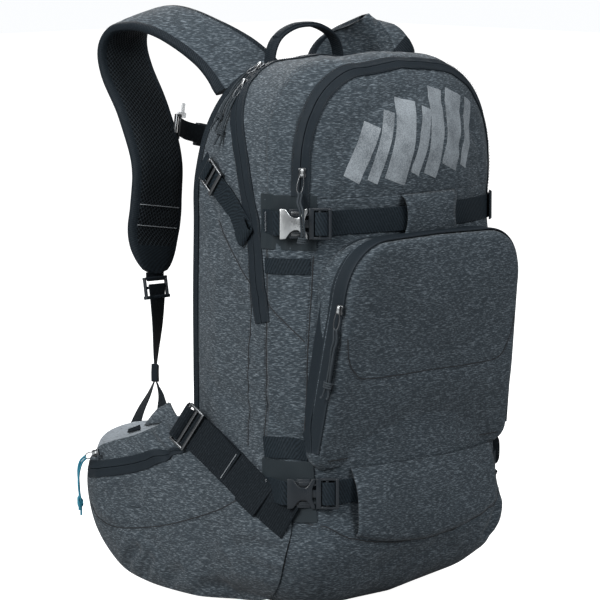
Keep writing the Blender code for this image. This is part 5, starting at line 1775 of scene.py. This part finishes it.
def makePull(mark, look, steps=40, shortest=0.036):
    slider, cordNode, body = (look["name"] % kind for kind in ("slider", "cord", "pull"))
    down = Vector(look["down"]).normalized()
    out = squareTo(Vector(look["out"]), down)
    side = down.cross(out)
    co = cornersOf(slider)
    middle = Vector(co.mean(0))
    along = (co - np.array(middle)) @ np.array(down)
    depth = (co - np.array(middle)) @ np.array(out)
    top = middle + down * float(along.min()) + out * float(depth.min())
    line = [Vector(p) for p in look.get("line", ())] or [p + out * look.get("lift",
                                                                            0.0) for p in cordLine(cordNode)]
    eye = line[0]
    # slider: two flanges, a raised bridge, then the wire ring that takes the cord
    plate(mark + "Slider", top, (down, side, out),
          [(0.0, -0.003), (0.0012, -0.0042), (0.0045, -0.003), (0.0078, -0.0042), (0.01, -0.0032), (0.01, 0.0032),
           (0.0078, 0.0042), (0.0045, 0.003), (0.0012, 0.0042), (0.0, 0.003)], 0.0002, 0.003, 0.0008, body,
          "darkMetal", (slider,))
    bridge = [top + down * a + out * b for a, b in ((0.0008, 0.0026), (0.0018, 0.0046), (0.0048, 0.005),
                                                    (0.0078, 0.0046),
                                                   (0.0088, 0.0026))]
    band(mark + "Bridge", smoothPath(bridge, 12), side, 0.0026, 0.001, body, "silver")
    start = top + down * 0.0062 + out * 0.004
    run = (eye - start).length
    pullWay = (eye - start).normalized()
    lean = squareTo(side, pullWay)
    ring = []
    for k in range(24):
        a = 2 * math.pi * k / 24
        ring.append(start + pullWay * (run * 0.5 - run * 0.56 * math.cos(a)) + lean * 0.003 * math.sin(a) *
                    (1.0 + 0.25 * math.cos(a + math.pi)))
    wire(mark + "Ring", ring, 0.0011, body, "darkMetal", resolution=3, cyclic=True)
    # the doubled cord, its knot and two short tails
    while pathLength(line) < shortest:
        line.append(line[-1] + (line[-1] - line[-2]).normalized() * 0.004)
    path = smoothPath(line, steps)
    gap = look["thick"] * 0.56
    strands = []
    for sign in (1, -1):
        strand = []
        for i, p in enumerate(path):
            t = i / (steps - 1)
            near = math.exp(-(((t - look["knot"]) / 0.1) ** 2))
            tail = max(t - look["knot"], 0)
            apart = gap * (1 - 0.1 * near) + 0.01 * tail
            strand.append(p + side * sign * apart + out * 0.0006 * sign * math.sin(9 * t))
        strands.append(strand)
    at = int((steps - 1) * look["knot"])
    knotAt = path[at]
    hang = (path[min(at + 2, steps - 1)] - path[at - 2]).normalized()
    r = look["thick"]
    knot = []
    for k in range(49):
        a = 2 * math.pi * k / 48 * 2.5
        around = knotAt + side * (1.55 * r * math.cos(a)) + out * (1.15 * r * math.sin(a))
        knot.append(around + hang * r * (k / 24 - 1.0) * 1.15)
    first = wire(mark + "CordFirst", strands[0], look["thick"], body, look["finish"], (cordNode,))
    second = wire(mark + "CordSecond", strands[1], look["thick"], body, look["finish"])
    tied = wire(mark + "Knot", knot, look["thick"] * 0.98, body, look["finish"])
    return pathLength(path)


for mark, look in pulls.items():
    print("pull", mark, round(makePull(mark, look) * 1000), "mm")

# ---- back: cover, sprung pads and the binding round the rear edge


def makeBack():
    ring = [Vector(p) for p in skin[0]]
    low, high = bag["spine"]
    rows = []
    for i in range(16):
        t = (i / 15) ** 1.2 * 0.996
        rows.append([Vector((p.x * (1 - t), 0.0868 + 0.0034 * (1 - (1 - t) ** 3),
                             p.z + (min(max(p.z, low), high) - p.z) * t))
                     for p in ring])
    cover = gridPiece("backCover", rows, None, "sideCloth", closedRows=True)
    fixOutward(cover, Vector((0, 0, 0.3)))
    placePiece(cover, "bag", "sideCloth", ("back_panel",))
    edge = [Vector((p.x * 1.002, 0.0862, p.z)) for p in ring]
    rings = []
    for i in range(len(edge)):
        along = (edge[(i + 1) % len(edge)] - edge[i - 1]).normalized()
        out = along.cross(rearward).normalized()
        if out.dot(edge[i] - Vector((0, 0.0862, min(max(edge[i].z, low), high)))) < 0:
            out = -out
        rings.append([edge[i] + out * a + Vector((0, b, 0)) for a, b in
                      ((-0.004, 0.0042), (0.0006, 0.004), (0.0026, 0.002), (0.003, -0.001), (0.0022, -0.0044),
                       (0.0002, -0.005), (-0.003, -0.004))])
        for p in rings[-1]:
            p.z = max(p.z, 0.0004)
    rings.append(rings[0])
    gridPiece("rearBinding", rings, "bag", "binding", closedRows=True, uvScale=1)


def padStart(name, boxes):
    # rounded slabs, each a little smaller than the finished pad
    parts = []
    for x0, x1, z0, z1, y0, y1 in boxes:
        outline = []
        for cx, cz, a0 in ((x1 - 0.02, z1 - 0.02, 0), (x0 + 0.02, z1 - 0.02, 90), (x0 + 0.02, z0 + 0.02, 180),
                           (x1 - 0.02, z0 + 0.02, 270)):
            for k in range(7):
                a = math.radians(a0 + 15 * k)
                outline.append((cx + 0.02 * math.cos(a), cz + 0.02 * math.sin(a)))
        obj = plate(name, (0, 0, 0), ((1, 0, 0), (0, 0, 1), (0, 1, 0)), outline, y0, y1, 0.002, None, "padKnit")
        parts.append(obj)
    return parts


def inflate(obj, cap, keepBelow, voxel=0.005):
    # fill the pad with air, hold its rear face to the back and limit how far it swells
    even = obj.modifiers.new("even", "REMESH")
    even.mode, even.voxel_size, even.use_smooth_shade = "VOXEL", voxel, True
    dg = bpy.context.evaluated_depsgraph_get()
    mesh = bpy.data.meshes.new_from_object(obj.evaluated_get(dg))
    obj.modifiers.clear()
    obj.data = mesh
    start = np.array([tuple(v.co) for v in mesh.vertices])
    held = obj.vertex_groups.new(name="held")
    held.add([i for i, p in enumerate(start) if p[1] < keepBelow], 1.0, "ADD")
    air = obj.modifiers.new("air", "CLOTH")
    air.settings.use_pressure, air.settings.uniform_pressure_force = True, 4.0
    air.settings.effector_weights.gravity = 0.0
    air.settings.vertex_group_mass = "held"
    air.settings.quality = 5
    for step in range(1, 21):
        scene.frame_set(step)
    shaped = obj.evaluated_get(bpy.context.evaluated_depsgraph_get()).to_mesh()
    moved = np.array([tuple(v.co) for v in shaped.vertices]) - start
    far = np.linalg.norm(moved, axis=1)
    moved *= np.minimum(1.0, cap / np.maximum(far, 1e-6))[:, None]
    obj.modifiers.clear()
    for vertex, place in zip(mesh.vertices, start + moved):
        vertex.co = place
    scene.frame_set(1)
    print(obj.name, "swelled up to", round(float(far.max()) * 1000, 1), "mm")
    smooth = obj.modifiers.new("smooth", "SUBSURF")
    smooth.levels = smooth.render_levels = 1
    mesh.shade_smooth()
    return obj


def makeBackPads():
    pads = (
        ("upperPad", "back_pad", ((-0.096, -0.01, 0.24, 0.484, 0.09, 0.101),
                                  (0.01, 0.096, 0.24, 0.484, 0.09, 0.101))),
        ("lumbarPad", "lumbar_pad", ((-0.092, -0.008, 0.064, 0.202, 0.09, 0.108),
                                     (0.008, 0.092, 0.064, 0.202, 0.09, 0.108))),
    )
    for name, node, boxes in pads:
        for part, mark in zip(padStart(name, boxes), ("Left", "Right")):
            part.name = name + mark
            inflate(part, 0.006, 0.0925)
            placePiece(part, "bag", "padKnit", (node,) if mark == "Left" else ())
    for name, x, low, high in (("backWeld", 0.0, 0.23, 0.494), ("lumbarWeld", 0.0, 0.056, 0.208)):
        band(name, [Vector((x, 0.0915, z)) for z in np.linspace(low, high, 12)], Vector((1, 0, 0)), 0.016, 0.0012,
             "bag", "binding")


makeBack()
makeBackPads()
print("back made")

# ---- plain print on the flap, and the parts kept inside


def makePrint():
    slant, low, high = 0.03, 0.442, 0.506
    start = -0.104
    for i, (wide, rise, drop) in enumerate(((0.02, -0.006, 0.004), (0.013, 0.004, 0.0), (0.026, 0.012, -0.002),
                                           (0.013, 0.0, 0.004), (0.02, 0.016, 0.0), (0.026, 0.008, 0.006),
                                           (0.013, -0.004, 0.004))):
        x = start + wide / 2
        foot = (x, -0.14, low + drop + 0.03 * (x + 0.1))
        head = (x + slant, -0.14, high + rise + 0.1 * (x + 0.1))
        points = [Vector(foot).lerp(Vector(head), t) for t in (0, 0.33, 0.66, 1)]
        points = [Vector((p.x, frontY(p.x, p.z), p.z)) for p in points]
        laid("printBar%d" % i, points, wide, "flap", "print", 0.00025, 0.00005, 24, rows=8, cover=0)
        start += wide + 0.007


makePrint()
for node, finish in (("shovel_sleeve", "lining"), ("back_protector", "tealCord")):
    nodes[node].data.materials.clear()
    nodes[node].data.materials.append(finishes[finish])
gear = [(0.135, -0.0835, 0.1525), (0.1376, -0.0861, 0.1515), (0.1382, -0.0867, 0.142), (0.1376, -0.0861, 0.131),
        (0.135, -0.0835, 0.13)]
band("gearLoop", smoothPath(gear, 16), Vector((0.7, -0.7, 0)), 0.013, 0.0016, "bag", "plainWebbing")
print("print and inner parts made")

# ---- floor, light and camera last

def makeFloor():
    size = 9.0
    points = [(-size, -size, -0.0006), (size, -size, -0.0006), (size, size, -0.0006), (-size, size, -0.0006)]
    floor = meshPiece("floor", points, [(0, 1, 2, 3)], None, "floor")


makeFloor()
makeCamera()
makeLamps()
